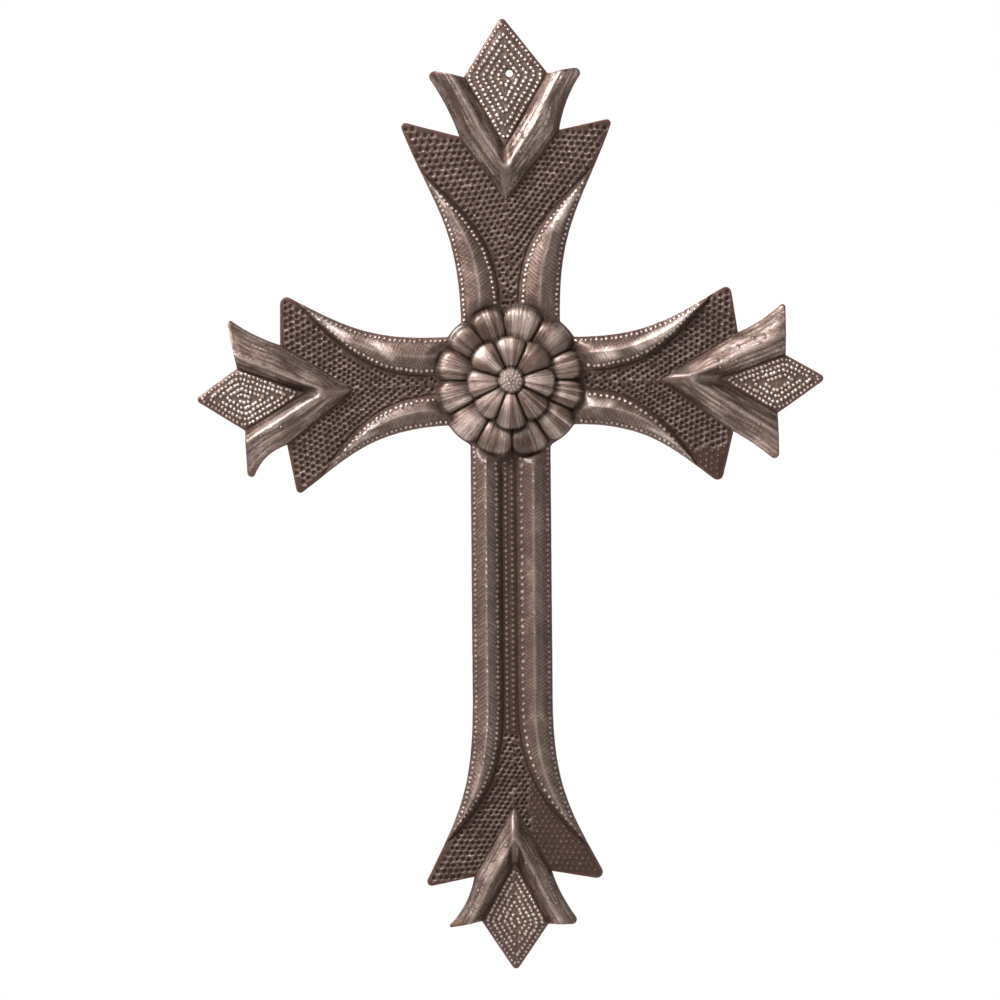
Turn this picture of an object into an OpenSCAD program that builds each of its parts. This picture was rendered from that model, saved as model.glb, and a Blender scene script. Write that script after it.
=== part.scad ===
// Wall cross cut from one steel sheet and hammered up from behind:
// four flared arms with V bands and pointed lozenges, round a raised flower.
// Front is -Y. The origin is the middle of the hanging hole on the back plane.

/* [Sheet] */
// Thickness of the steel sheet
sheet_t = 1.2; // [0.8:0.1:2]
// Radius left on the pointed corners
tip_r = 2; // [0.5:0.25:3]

/* [Hanging hole] */
// Diameter of the nail hole
hole_d = 3.5; // [2:0.1:6]
// Distance of its middle back from the top arm's point
hole_back = 27.5; // [22:0.5:40]
// Distance of its middle to the right of the top arm's middle line
hole_across = 3; // [-4:0.5:4]

/* [Relief] */
// Height of the leaves along both sides of each arm
leaf_h = 4.5; // [1:0.5:7]
// Height of the V bands
band_h = 7; // [2:0.5:10]
// Height of the outer petals
outer_petal_h = 6; // [3:0.5:9]
// Height of the inner petals
inner_petal_h = 10.5; // [9.5:0.5:14]
// Height of the boss in the flower's middle
boss_h = 12.5; // [9.5:0.5:18]

/* [Flower] */
// Reach of the outer petals
outer_petal_r = 35; // [26:0.5:42]
// Reach of the inner petals
inner_petal_r = 21; // [16:0.5:25]
// Radius of the boss
boss_r = 5.5; // [3:0.5:9]
// Flat sheet left round the outer petals
flower_margin = 1.5; // [1:0.25:4]
// Depth of the scallops between petal tips
petal_scallop = 3.5; // [1:0.25:5]
// Direction of outer petal 1 if they were evenly spaced (degrees)
first_outer_petal = 16; // [0:1:29]
// Turn of outer petals 1 to 4 from even spacing (degrees)
outer_turn_a = [-3, -2.5, 5, 6]; // [-12:0.5:12]
// Turn of outer petals 5 to 8 from even spacing (degrees)
outer_turn_b = [3.5, 0, -1, -2]; // [-12:0.5:12]
// Turn of outer petals 9 to 12 from even spacing (degrees)
outer_turn_c = [1, -1, 3, 2]; // [-12:0.5:12]
// Turn of inner petals 1 to 4 from even spacing (degrees)
inner_turn_a = [-5, -2, 0, 3]; // [-15:0.5:15]
// Turn of inner petals 5 to 8 from even spacing (degrees)
inner_turn_b = [9, 2, 0, -3]; // [-15:0.5:15]

/* [Right arm] */
// Reach of the point from the flower's middle
right_reach = 149.5; // [140:0.5:240]
// Lean from level, anticlockwise (degrees)
right_lean = 0.5; // [-5:0.5:5]
// Half width at the flower, upper then lower side
right_waist = [20.5, 21]; // [16:0.5:24]
// Half width of the dimpled channel at the flower, upper then lower side
right_channel = [4.5, 4.5]; // [1:0.5:7]
// Slope of the flared sides at their corners, upper then lower (degrees)
right_slope = [28, 37]; // [15:1:40]
// Back from the point to the V band's outer then inner corner
right_band_back = [79, 51.5]; // [45:0.5:90]
// Flare corners back from the point, upper then lower
right_flare_back = [45.5, 50.5]; // [38:0.5:56]
// Flare corners out from the middle line, upper then lower
right_flare_out = [45, 50]; // [40:0.5:58]
// Notches back from the point, upper then lower
right_notch_back = [42, 44.5]; // [40:0.5:58]
// Notches out from the middle line, upper then lower
right_notch_out = [22, 25]; // [16:0.5:28]
// Wing tips back from the point, upper then lower
right_wing_back = [19.5, 23]; // [16:0.5:28]
// Wing tips out from the middle line, upper then lower
right_wing_out = [36.5, 40]; // [30:0.5:42]
// Hollow of the wings' outer edges, upper then lower
right_wing_hollow = [1, 0.5]; // [0:0.25:3]
// Lozenge shoulders back from the point, upper then lower
right_shoulder_back = [19.5, 23.5]; // [18:0.5:30]
// Lozenge shoulders out from the middle line, upper then lower
right_shoulder_out = [11, 16.5]; // [10:0.5:22]

/* [Top arm] */
// Reach of the point from the flower's middle
top_reach = 172.5; // [140:0.5:240]
// Lean from upright, anticlockwise (degrees)
top_lean = 1.5; // [-5:0.5:5]
// Half width at the flower, left then right side
top_waist = [23, 24]; // [16:0.5:25]
// Half width of the dimpled channel at the flower, left then right side
top_channel = [4.5, 4.5]; // [1:0.5:7]
// Slope of the flared sides at their corners, left then right (degrees)
top_slope = [19, 20]; // [15:1:40]
// Back from the point to the V band's outer then inner corner
top_band_back = [87, 62.5]; // [50:0.5:95]
// Flare corners back from the point, left then right
top_flare_back = [48.5, 49.5]; // [40:0.5:60]
// Flare corners out from the middle line, left then right
top_flare_out = [50, 51.5]; // [44:0.5:60]
// Notches back from the point, left then right
top_notch_back = [56.5, 54.5]; // [45:0.5:65]
// Notches out from the middle line, left then right
top_notch_out = [21.5, 26]; // [18:0.5:30]
// Wing tips back from the point, left then right
top_wing_back = [24.5, 25]; // [20:0.5:30]
// Wing tips out from the middle line, left then right
top_wing_out = [37, 38]; // [32:0.5:42]
// Hollow of the wings' outer edges, left then right
top_wing_hollow = [1, 1.5]; // [0:0.25:3]
// Lozenge shoulders back from the point, left then right
top_shoulder_back = [28.5, 27.5]; // [24:0.5:36]
// Lozenge shoulders out from the middle line, left then right
top_shoulder_out = [18.5, 21]; // [12:0.5:24]

/* [Left arm] */
// Reach of the point from the flower's middle
left_reach = 150; // [140:0.5:240]
// Lean from level, anticlockwise (degrees)
left_lean = 3.5; // [-5:0.5:5]
// Half width at the flower, lower then upper side
left_waist = [19.5, 22.5]; // [16:0.5:24]
// Half width of the dimpled channel at the flower, lower then upper side
left_channel = [4.5, 4.5]; // [1:0.5:7]
// Slope of the flared sides at their corners, lower then upper (degrees)
left_slope = [34, 30]; // [15:1:40]
// Back from the point to the V band's outer then inner corner
left_band_back = [75.5, 53]; // [45:0.5:90]
// Flare corners back from the point, lower then upper
left_flare_back = [46, 43.5]; // [38:0.5:56]
// Flare corners out from the middle line, lower then upper
left_flare_out = [48.5, 48]; // [40:0.5:58]
// Notches back from the point, lower then upper
left_notch_back = [42.5, 42]; // [40:0.5:58]
// Notches out from the middle line, lower then upper
left_notch_out = [24, 23.5]; // [16:0.5:28]
// Wing tips back from the point, lower then upper
left_wing_back = [23, 17.5]; // [16:0.5:28]
// Wing tips out from the middle line, lower then upper
left_wing_out = [40.5, 37.5]; // [30:0.5:42]
// Hollow of the wings' outer edges, lower then upper
left_wing_hollow = [2.5, 1]; // [0:0.25:3]
// Lozenge shoulders back from the point, lower then upper
left_shoulder_back = [23, 21]; // [18:0.5:30]
// Lozenge shoulders out from the middle line, lower then upper
left_shoulder_out = [16, 13.5]; // [10:0.5:22]

/* [Foot arm] */
// Reach of the point from the flower's middle
foot_reach = 279.5; // [230:0.5:360]
// Lean from upright, anticlockwise (degrees)
foot_lean = 0.5; // [-5:0.5:5]
// How far the straight shaft runs from the flower's middle
foot_shaft = 150; // [50:1:155]
// Half width of the shaft, right then left side
foot_waist = [18.5, 19.5]; // [16:0.5:24]
// Half width of the dimpled channel down the shaft, right then left side
foot_channel = [2, 5]; // [1:0.5:7]
// Slope of the flared sides at their corners, right then left (degrees)
foot_slope = [28, 26]; // [15:1:40]
// Back from the point to the V band's outer then inner corner
foot_band_back = [77.5, 52]; // [45:0.5:90]
// Flare corners back from the point, right then left
foot_flare_back = [43, 40]; // [36:0.5:56]
// Flare corners out from the middle line, right then left
foot_flare_out = [44, 43.5]; // [38:0.5:58]
// Notches back from the point, right then left
foot_notch_back = [47.5, 45]; // [40:0.5:58]
// Notches out from the middle line, right then left
foot_notch_out = [17.5, 19.5]; // [16:0.5:26]
// Wing tips back from the point, right then left
foot_wing_back = [22.5, 21]; // [16:0.5:28]
// Wing tips out from the middle line, right then left
foot_wing_out = [30.5, 32]; // [28:0.5:40]
// Hollow of the wings' outer edges, right then left
foot_wing_hollow = [1, 2]; // [0:0.25:3]
// Lozenge shoulders back from the point, right then left
foot_shoulder_back = [22.5, 24]; // [18:0.5:30]
// Lozenge shoulders out from the middle line, right then left
foot_shoulder_out = [15.5, 16]; // [10:0.5:20]

/* [Hidden] */

// Arms in the order right, top, left, foot, anticlockwise.
// In each pair, the first number is the arm's anticlockwise side.
reach = [right_reach, top_reach, left_reach, foot_reach];
lean = [right_lean, top_lean, left_lean, foot_lean];
shaft = [0, 0, 0, foot_shaft];
waist = [right_waist, top_waist, left_waist, foot_waist];
channel = [right_channel, top_channel, left_channel, foot_channel];
slope = [right_slope, top_slope, left_slope, foot_slope];
band_back = [right_band_back, top_band_back, left_band_back, foot_band_back];
flare_back = [right_flare_back, top_flare_back, left_flare_back, foot_flare_back];
flare_out = [right_flare_out, top_flare_out, left_flare_out, foot_flare_out];
notch_back = [right_notch_back, top_notch_back, left_notch_back, foot_notch_back];
notch_out = [right_notch_out, top_notch_out, left_notch_out, foot_notch_out];
wing_back = [right_wing_back, top_wing_back, left_wing_back, foot_wing_back];
wing_out = [right_wing_out, top_wing_out, left_wing_out, foot_wing_out];
wing_hollow = [right_wing_hollow, top_wing_hollow, left_wing_hollow, foot_wing_hollow];
shoulder_back = [right_shoulder_back, top_shoulder_back, left_shoulder_back, foot_shoulder_back];
shoulder_out = [right_shoulder_out, top_shoulder_out, left_shoulder_out, foot_shoulder_out];

// The sheet round the flower reaches past the petals and past the corners between the arms.
corner_r = max([for (a = [0:3]) norm([waist[a][0], waist[(a + 1) % 4][1]])]);
hub_r = flower_margin + max(outer_petal_r, corner_r);

// Pull of the flared curves' handles, as shares of their run.
start_pull = 0.5;
end_pull = 0.42;
// How much steeper the leaves' inner edges meet the corners (degrees).
vein_turn = 8;

// Mesh steps: along an arm, in its straight shaft, along a V band, wing and lozenge edge.
cols = [12, 12, 12, 24];
shaft_cols = [0, 0, 0, 12];
band_cols = 6;
wing_cols = 4;
tip_cols = 4;
petal_steps = 6;
gap_steps = 3;

// Rails 0 to 2 cross the channel, rails 2 to 6 cross the leaf.
vein_rail = 2;
edge_rail = 6;
leaf_arch = [0, 0, 0, 0.75, 1, 0.7, 0];
band_arch = [0, 0.6, 1, 0.6, 0];
leaf_start = [0, 0.8];
leaf_fade = [0, 0, 0.35, 0.75];

// The flower's profile: each petal's groove as a share of its crown, the inner petals' fall
// towards their tips, the petals' root round the boss, and the boss's shoulder.
outer_groove = 0.35;
inner_groove = 0.7;
inner_fall = 0.2;
root_share = 0.8;
shoulder_share = [0.65, 0.93];
inner_rings = [0.15, 0.45, 0.75, 0.92];
outer_rings = [0.35, 0.65, 0.85, 0.95, 1];
petal_step_w = 1;

function petals_round(first, turns) =
    [for (i = [0:len(turns) - 1]) first + 360 * i / len(turns) + turns[i]];
outer_petals = petals_round(first_outer_petal, concat(outer_turn_a, outer_turn_b, outer_turn_c));
inner_petals = petals_round(0, concat(inner_turn_a, inner_turn_b));

function unit(v) = v / norm(v);
function mix(a, b, share) = a + (b - a) * share;
function reverse(list) = [for (i = [len(list) - 1:-1:0]) list[i]];
function bezier(p, t) =
    pow(1 - t, 3) * p[0] + 3 * pow(1 - t, 2) * t * p[1] + 3 * (1 - t) * t * t * p[2] + pow(t, 3) * p[3];

// A corner between two directions, rounded to tip_r: its cut length and its middle point.
function half_angle(d, e) = acos(unit(d) * unit(e)) / 2;
function cut_of(d, e) = tip_r / tan(half_angle(d, e));
function blunt(corner, d, e) = corner + unit(unit(d) + unit(e)) * (tip_r / sin(half_angle(d, e)) - tip_r);

// Corners of arm a on side s, as [along, out] from the flower's middle.
function corner(a, s, back, out) = [reach[a] - back[a][s], out[a][s]];
function flare(a, s) = corner(a, s, flare_back, flare_out);
function notch(a, s) = corner(a, s, notch_back, notch_out);
function wing(a, s) = corner(a, s, wing_back, wing_out);
function shoulder(a, s) = corner(a, s, shoulder_back, shoulder_out);
function band_corner(a, which) = [reach[a] - band_back[a][which], 0];

// A line that leaves the flower at a half width, runs straight down the shaft and flares.
function flowing(a, half, end, angle, cut, last, j) =
    let (
        start = on_hub([0, half]),
        bend = [max(shaft[a], start[0]), half],
        run = end[0] - bend[0],
        pull = end_pull * run,
        curve = [bend, bend + [start_pull * run, 0], end - pull * [cos(angle), sin(angle)], end],
        t = (1 - cut / (3 * pull)) * (j - shaft_cols[a]) / (last - shaft_cols[a])
    )
    j < shaft_cols[a] ? mix(start, bend, j / shaft_cols[a]) : bezier(curve, t);

function flare_run(a, s) = -[cos(slope[a][s]), sin(slope[a][s])];
function flare_end(a, s) = notch(a, s) - flare(a, s);
function flare_cut(a, s) = cut_of(flare_run(a, s), flare_end(a, s));

function edge(a, s, j) =
    j == cols[a] ? blunt(flare(a, s), flare_run(a, s), flare_end(a, s))
    : flowing(a, waist[a][s], flare(a, s), slope[a][s], flare_cut(a, s), cols[a] - 1, j);

// The leaf's inner edge, which ends where the flare corner's rounding starts.
function vein(a, s, j) =
    let (end = flare(a, s) + unit(flare_end(a, s)) * flare_cut(a, s))
    flowing(a, channel[a][s], end, slope[a][s] + vein_turn, 0, cols[a], j);

// The arm's middle line as far as the V band, then the band's outer edge to the notch.
function spine(a, s, j) =
    let (stem = cols[a] - band_cols)
    j <= stem ? mix([hub_r, 0], band_corner(a, 0), j / stem)
    : mix(band_corner(a, 0), notch(a, s), (j - stem) / band_cols);

function between_rails(a, s, i, j) =
    i <= vein_rail ? mix(spine(a, s, j), vein(a, s, j), i / vein_rail)
    : mix(vein(a, s, j), edge(a, s, j), (i - vein_rail) / (edge_rail - vein_rail));
function on_hub(p) = [sqrt(hub_r * hub_r - p[1] * p[1]), p[1]];
function arm_point(a, s, i, j) = j == 0 ? on_hub(between_rails(a, s, i, j)) : between_rails(a, s, i, j);

function leaf_share(a, j) =
    j < len(leaf_start) ? leaf_start[j]
    : cols[a] - j < len(leaf_fade) ? leaf_fade[cols[a] - j]
    : 1;

// The V band: row 0 is its outer edge out to the wing tip, the last row its inner edge.
function wing_edge(a, s) = notch(a, s) - wing(a, s);
function wing_end(a, s) = shoulder(a, s) - wing(a, s);
function wing_cut(a, s) = cut_of(wing_edge(a, s), wing_end(a, s));

function band_outer(a, s, c) =
    let (
        k = (c - band_cols) / (wing_cols - 1),
        along = unit(-wing_edge(a, s)),
        to = wing(a, s) - along * wing_cut(a, s),
        bow = wing_hollow[a][s] * 4 * k * (1 - k)
    )
    c <= band_cols ? spine(a, s, cols[a] - band_cols + c)
    : k > 1 ? blunt(wing(a, s), wing_edge(a, s), wing_end(a, s))
    : mix(notch(a, s), to, k) + bow * [along[1], -along[0]];

function band_inner(a, s, c) = mix(band_corner(a, 1), shoulder(a, s), c / (band_cols + wing_cols));

function band_point(a, s, r, c) =
    let (
        last = len(band_arch) - 1,
        from = wing(a, s) + unit(wing_end(a, s)) * wing_cut(a, s)
    )
    c < band_cols + wing_cols || r == 0 ? mix(band_outer(a, s, c), band_inner(a, s, c), r / last)
    : mix(from, shoulder(a, s), (r - 1) / (last - 1));

// The lozenge: its middle line and its edge, the band's inner edge first.
function tip_side(a, s) = shoulder(a, s) - [reach[a], 0];
function tip_half(a) = half_angle(tip_side(a, 0), [tip_side(a, 1)[0], -tip_side(a, 1)[1]]);
function tip_point(a) = [reach[a] - tip_r / sin(tip_half(a)) + tip_r, 0];

function lozenge_middle(a, c) =
    mix(band_corner(a, 1), tip_point(a), c / (band_cols + wing_cols + tip_cols));

function lozenge_edge(a, s, c) =
    let (
        k = (c - band_cols - wing_cols) / (tip_cols - 1),
        to = [reach[a], 0] + unit(tip_side(a, s)) * tip_r / tan(tip_half(a))
    )
    k <= 0 ? band_inner(a, s, c) : k > 1 ? tip_point(a) : mix(shoulder(a, s), to, k);

// Onto the sheet's own plane, as [right, up, height].
function placed(a, s, p, height) =
    let (angle = 90 * a + lean[a], out = s == 0 ? p[1] : -p[1])
    [p[0] * cos(angle) - out * sin(angle), p[0] * sin(angle) + out * cos(angle), height];

function arm_at(a, s, i, j) = placed(a, s, arm_point(a, s, i, j), leaf_h * leaf_arch[i] * leaf_share(a, j));
function band_at(a, s, r, c) = placed(a, s, band_point(a, s, r, c), band_h * band_arch[r]);
function lozenge_at(a, s, c) = placed(a, s, lozenge_edge(a, s, c), 0);

// The flower: which part of a petal a direction falls on, 0 in its middle and 1 at its sides.
function turn(angle) = angle - 360 * floor(angle / 360);
function across(angle, petals) =
    let (
        down = min([for (p = petals) turn(angle - p)]),
        up = min([for (p = petals) if (turn(p - angle) > 0) turn(p - angle)])
    )
    2 * min(up, down) / (up + down);

function petal_tip(angle, r, petals) = r - petal_scallop * pow(across(angle, petals), 2);
function petal_crown(angle, petals, groove) =
    mix(groove, 1, sqrt(max(0, 1 - pow(across(angle, petals), 2))));

// Rings from the boss outwards, each with its radius and height in one direction.
function flower_rings(angle) =
    let (
        inner_tip = petal_tip(angle, inner_petal_r, inner_petals),
        outer_tip = petal_tip(angle, outer_petal_r, outer_petals),
        inner_crown = inner_petal_h * petal_crown(angle, inner_petals, inner_groove),
        outer_crown = outer_petal_h * petal_crown(angle, outer_petals, outer_groove)
    )
    [
        [0, boss_h],
        [boss_r * shoulder_share[0], boss_h * shoulder_share[1]],
        [boss_r, inner_petal_h * root_share],
        for (k = inner_rings) [mix(boss_r, inner_tip, k), inner_crown * (1 - inner_fall * k * k)],
        [inner_tip, mix(inner_crown * (1 - inner_fall), outer_crown, 0.5)],
        [inner_tip + petal_step_w, outer_crown],
        for (k = outer_rings)
            [mix(inner_tip + petal_step_w, outer_tip, k), outer_crown * (1 - pow(k, 4))],
    ];

function polar(r, angle, height) = [r * cos(angle), r * sin(angle), height];

// Directions of the arms' first points and of the points in the gaps between the arms.
function direction(a, s, i) =
    let (p = arm_point(a, s, i, 0)) 90 * a + lean[a] + (s == 0 ? 1 : -1) * atan(p[1] / p[0]);
function gap_angle(a, k) =
    let (next = direction((a + 1) % 4, 1, edge_rail) + (a == 3 ? 360 : 0))
    mix(direction(a, 0, edge_rail), next, k / gap_steps);
function gap_at(a, k) = polar(hub_r, gap_angle(a, k), 0);

// The rim round the flower, anticlockwise from the right arm's lower edge, as directions and points.
hub_ring = [for (a = [0:3]) each [
    for (i = [edge_rail:-1:1]) [direction(a, 1, i), arm_at(a, 1, i, 0)],
    for (i = [0:edge_rail]) [direction(a, 0, i), arm_at(a, 0, i, 0)],
    for (k = [1:gap_steps - 1]) [gap_angle(a, k), gap_at(a, k)],
]];

// Directions across the outer petals, from the middle of one to the middle of the next.
function next_petal(i) = i == len(outer_petals) - 1 ? outer_petals[0] + 360 : outer_petals[i + 1];
petal_directions = [for (i = [0:len(outer_petals) - 1], k = [0:petal_steps - 1])
    mix(outer_petals[i], next_petal(i), k / petal_steps)];

// The same directions, one turn of them from the rim's first.
flower_directions = [for (full = [-360, 0, 360], angle = petal_directions)
    if (angle + full >= hub_ring[0][0] && angle + full < hub_ring[0][0] + 360) angle + full];

function closed(ring) = concat(ring, [[ring[0][0] + 360, ring[0][1]]]);
flower_columns = [for (angle = concat(flower_directions, flower_directions[0]))
    [for (ring = flower_rings(angle)) polar(ring[0], angle, ring[1])]];
flower_ring = closed([for (i = [0:len(flower_directions) - 1])
    [flower_directions[i], flower_columns[i][len(flower_columns[i]) - 1]]]);

// Triangles between two rows of equal length, and between two rings of unequal length.
function strip(a, b) =
    [for (i = [0:len(a) - 2]) each [[a[i], a[i + 1], b[i + 1]], [a[i], b[i + 1], b[i]]]];
function patch(rows) = [for (r = [0:len(rows) - 2]) each strip(rows[r], rows[r + 1])];
function zipped(a, b, i = 0, j = 0) =
    i == len(a) - 1 && j == len(b) - 1 ? []
    : j == len(b) - 1 || (i < len(a) - 1 && a[i + 1][0] <= b[j + 1][0])
        ? concat([[a[i][1], a[i + 1][1], b[j][1]]], zipped(a, b, i + 1, j))
        : concat([[a[i][1], b[j + 1][1], b[j][1]]], zipped(a, b, i, j + 1));

function arm_patch(a, s) = patch([for (i = [0:edge_rail]) [for (j = [0:cols[a]]) arm_at(a, s, i, j)]]);
function band_patch(a, s) =
    patch([for (r = [0:len(band_arch) - 1]) [for (c = [0:band_cols + wing_cols]) band_at(a, s, r, c)]]);
function lozenge_patch(a, s) =
    let (all = [0:band_cols + wing_cols + tip_cols])
    strip([for (c = all) placed(a, s, lozenge_middle(a, c), 0)], [for (c = all) lozenge_at(a, s, c)]);

sheet = concat(
    [for (a = [0:3], s = [0, 1]) each concat(arm_patch(a, s), band_patch(a, s), lozenge_patch(a, s))],
    zipped(closed(hub_ring), flower_ring),
    patch(flower_columns)
);

// One side of an arm's outline, from the flower to the point.
function arm_outline(a, s) = [
    for (j = [0:cols[a]]) arm_at(a, s, edge_rail, j),
    for (i = [edge_rail - 1:-1:0]) arm_at(a, s, i, cols[a]),
    for (c = [band_cols + 1:band_cols + wing_cols]) band_at(a, s, 0, c),
    for (r = [1:len(band_arch) - 1]) band_at(a, s, r, band_cols + wing_cols),
    for (c = [1:tip_cols - 1]) lozenge_at(a, s, band_cols + wing_cols + c),
];
outline = [for (a = [0:3]) each concat(
    arm_outline(a, 1),
    [placed(a, 0, tip_point(a), 0)],
    reverse(arm_outline(a, 0)),
    [for (k = [1:gap_steps - 1]) gap_at(a, k)]
)];

// The hole is the origin.
hole = placed(1, 1, [top_reach - hole_back, hole_across], 0);
function front(p) = [p[0] - hole[0], -p[2] - sheet_t, p[1] - hole[1]];
function back(p) = front(p) + [0, sheet_t, 0];

function area(t) = cross([t[1][0] - t[0][0], t[1][1] - t[0][1]], [t[2][0] - t[0][0], t[2][1] - t[0][1]]);
least_area = 0.0001;
front_faces = [for (t = sheet) if (abs(area(t)) > least_area)
    [for (p = area(t) > 0 ? reverse(t) : t) front(p)]];
back_faces = [for (t = sheet) if (abs(area(t)) > least_area)
    [for (p = area(t) > 0 ? t : reverse(t)) back(p)]];
rim_faces = [for (i = [0:len(outline) - 1])
    let (p = outline[i], q = outline[(i + 1) % len(outline)])
    each [[front(p), front(q), back(q)], [front(p), back(q), back(p)]]];

module hammered_sheet() {
    faces = concat(front_faces, back_faces, rim_faces);
    polyhedron(
        points = [for (f = faces) each f],
        faces = [for (i = [0:len(faces) - 1]) [3 * i, 3 * i + 1, 3 * i + 2]]
    );
}

module nail_hole() {
    translate([0, 1, 0]) rotate([90, 0, 0]) cylinder(d = hole_d, h = sheet_t + 2, $fn = 48);
}

module cross() {
    color([0.42, 0.36, 0.32]) difference() {
        hammered_sheet();
        nail_hole();
    }
}

cross();
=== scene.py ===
import math

import bpy
import numpy as np
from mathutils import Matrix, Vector, kdtree, noise
from mathutils.geometry import delaunay_2d_cdt


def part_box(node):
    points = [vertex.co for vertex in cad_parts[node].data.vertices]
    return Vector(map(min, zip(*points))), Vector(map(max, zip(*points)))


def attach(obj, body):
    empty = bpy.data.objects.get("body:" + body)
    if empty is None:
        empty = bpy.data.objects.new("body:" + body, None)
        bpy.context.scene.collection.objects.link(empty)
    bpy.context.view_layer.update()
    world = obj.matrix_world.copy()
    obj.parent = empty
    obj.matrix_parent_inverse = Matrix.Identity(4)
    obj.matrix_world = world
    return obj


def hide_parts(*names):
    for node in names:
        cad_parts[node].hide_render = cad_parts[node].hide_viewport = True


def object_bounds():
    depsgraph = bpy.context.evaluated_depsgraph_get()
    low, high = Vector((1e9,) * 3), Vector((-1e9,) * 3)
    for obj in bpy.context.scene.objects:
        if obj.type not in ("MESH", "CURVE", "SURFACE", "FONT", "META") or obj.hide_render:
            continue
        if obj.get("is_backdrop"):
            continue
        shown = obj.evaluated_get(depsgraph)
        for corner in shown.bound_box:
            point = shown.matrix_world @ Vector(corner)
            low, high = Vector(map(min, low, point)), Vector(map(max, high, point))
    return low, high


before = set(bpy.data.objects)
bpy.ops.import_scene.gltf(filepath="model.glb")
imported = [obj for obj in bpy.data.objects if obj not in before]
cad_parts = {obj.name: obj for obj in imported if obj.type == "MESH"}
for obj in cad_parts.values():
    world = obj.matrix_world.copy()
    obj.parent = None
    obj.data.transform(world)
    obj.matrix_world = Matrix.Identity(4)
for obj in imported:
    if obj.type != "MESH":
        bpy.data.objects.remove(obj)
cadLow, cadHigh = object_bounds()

# All shaping is done in millimetres round the flower's middle, as (right, up), and scaled at the end.
mm = 0.001
seed = 7
rng = np.random.default_rng(seed)

sheet = {
    "thickness": 1.2,
    "tipRadius": 2.0,
    "hubRadius": 36.5,         # flat sheet round the flower
    "hubScallop": 1.4,         # how far its edge dips between petals
    "startPull": 0.5,          # handles of the flared curves, as shares of their run
    "endPull": 0.42,
    "veinTurn": 21,            # degrees between a leaf's inner edge and the outline where they meet
    "holeRadius": 1.75,
    "holeBack": 27.5,          # back from the top point, and to the right of its middle line
    "holeAcross": 3.0,
    "holeMargin": 3.2,         # no beads nearer than this
    "pitFloor": -0.85,         # no pit goes deeper than this below the sheet's face
    "backShare": 0.9,          # how much of the front's relief shows on the back
    "sharpAngle": 62,          # degrees past which an edge of the mesh is not smoothed
    "outlineStep": 1.25,
    "cutWobble": 0.14,         # how far the hand-cut edge wanders inwards, and the length of its waves
    "cutSize": 4,
    "edgeRound": 0.3,          # width and drop of the rounded front edge
    "rimWidth": 0.7,           # how far in from the edge its rusty colour reaches
}

# Measures of the right, top, left and foot arms.
# A pair is the arm's anticlockwise side, then its clockwise side.
arms = {
    "lean": (0.5, 1.5, 3.5, 0.5),
    "reach": (149.5, 172.5, 150, 279.5),
    "shaft": (0, 0, 0, 150),   # how far out the arm runs straight
    # half widths beside the flower, of the arm and of the channel between its leaves
    "waist": ((20.5, 21), (23, 24), (19.5, 22.5), (18.5, 19.5)),
    "channel": (4.5, 4.5, 4.5, (2, 5)),
    # degrees at which the outline meets the flare's corner
    "slope": ((28, 37), (19, 20), (34, 30), (28, 26)),
    # how far back from the arm's point the V band's two corners lie, then the outline's corners, back and out
    "bandOuter": (79, 87, 75.5, 77.5),
    "bandInner": (51.5, 62.5, 53, 52),
    "flareBack": ((45.5, 50.5), (48.5, 49.5), (46, 43.5), (43, 40)),
    "flareOut": ((45, 50), (50, 51.5), (48.5, 48), (44, 43.5)),
    "notchBack": ((42, 44.5), (56.5, 54.5), (42.5, 42), (47.5, 45)),
    "notchOut": ((22, 25), (21.5, 26), (24, 23.5), (17.5, 19.5)),
    "wingBack": ((19.5, 23), (24.5, 25), (23, 17.5), (22.5, 21)),
    "wingOut": ((36.5, 40), (37, 38), (40.5, 37.5), (30.5, 32)),
    "shoulderBack": ((19.5, 23.5), (28.5, 27.5), (23, 21), (22.5, 24)),
    "shoulderOut": ((11, 16.5), (18.5, 21), (16, 13.5), (15.5, 16)),
    "wingHollow": ((1, 0.5), (1, 1.5), (2.5, 1), (1, 2)),
    "flareRadius": ((2.8, 3.0), 2, (2, 3.2), (3, 2.2)),
    "wingRadius": ((1.6, 2.2), 2.4, (2, 1.4), (2.2, 0.9)),
    "leafShort": ((8.5, 13), (25.5, 24), (14.5, 7.5), (17, 22)),  # how far before that corner the leaf ends
    # where the ridges lie across the leaf and across the V band
    "ridgeShare": ((0.52, 0.48), 0.5, (0.48, 0.5), 0.5),
    "bandRidge": (0.55, 0.64, 0.7, 0.58),
    "strokePitch": (1.5, 1.8, 1.5, (1.8, 2.0)),
    "rowPitch": ((2.35, 2.9), (2.4, 2.5), (2.6, 2.4), (3.3, 2.4)),
    "ridgeDots": (0, 0, 0, (0.15, 0.6)),  # share of the dots along the leaf's ridge that are there
    "bandDots": ((10, 1), (0, 3), (2, 0), (7, 5)),
    "raisedFrom": ((99, 32), 99, 99, (7, 99)),  # raised dots in place of pits from this far out
    "pitScale": ((1.04, 1), (1.16, 1.04), 1, (0.98, 1)),
    "lozengeGap": (2.4, 3.1, 2.35, 2.5),  # between rows of beads
    "lozengePitch": (2.1, 2.2, 2.05, 2.0),
    # how bright the painted highlight patches on the leaves are, and how far out they start
    "patchHighlight": (0.9, (0.9, 0.8), (0.8, 0.9), (0.12, 0.05)),
    "patchFrom": (36, 64, 50, 50),
    "shaftShade": (0, 0, 0, (0.46, 0.32)),  # darker colour on the leaves down the shaft, more on the right leaf
    "shine": (0.86, 1, 0.8, 0.58),  # how bright the V band and the beads are painted on each arm, wear and painted highlight together, brightest on the top arm and darkest on the foot
}


def unit(v):
    return v / np.linalg.norm(v)


def lengthOf(points):
    return np.linalg.norm(points, axis=1)


def cross(a, b):
    return a[..., 0] * b[..., 1] - a[..., 1] * b[..., 0]


def clipped(x):
    return np.clip(x, 0, 1)


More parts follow.
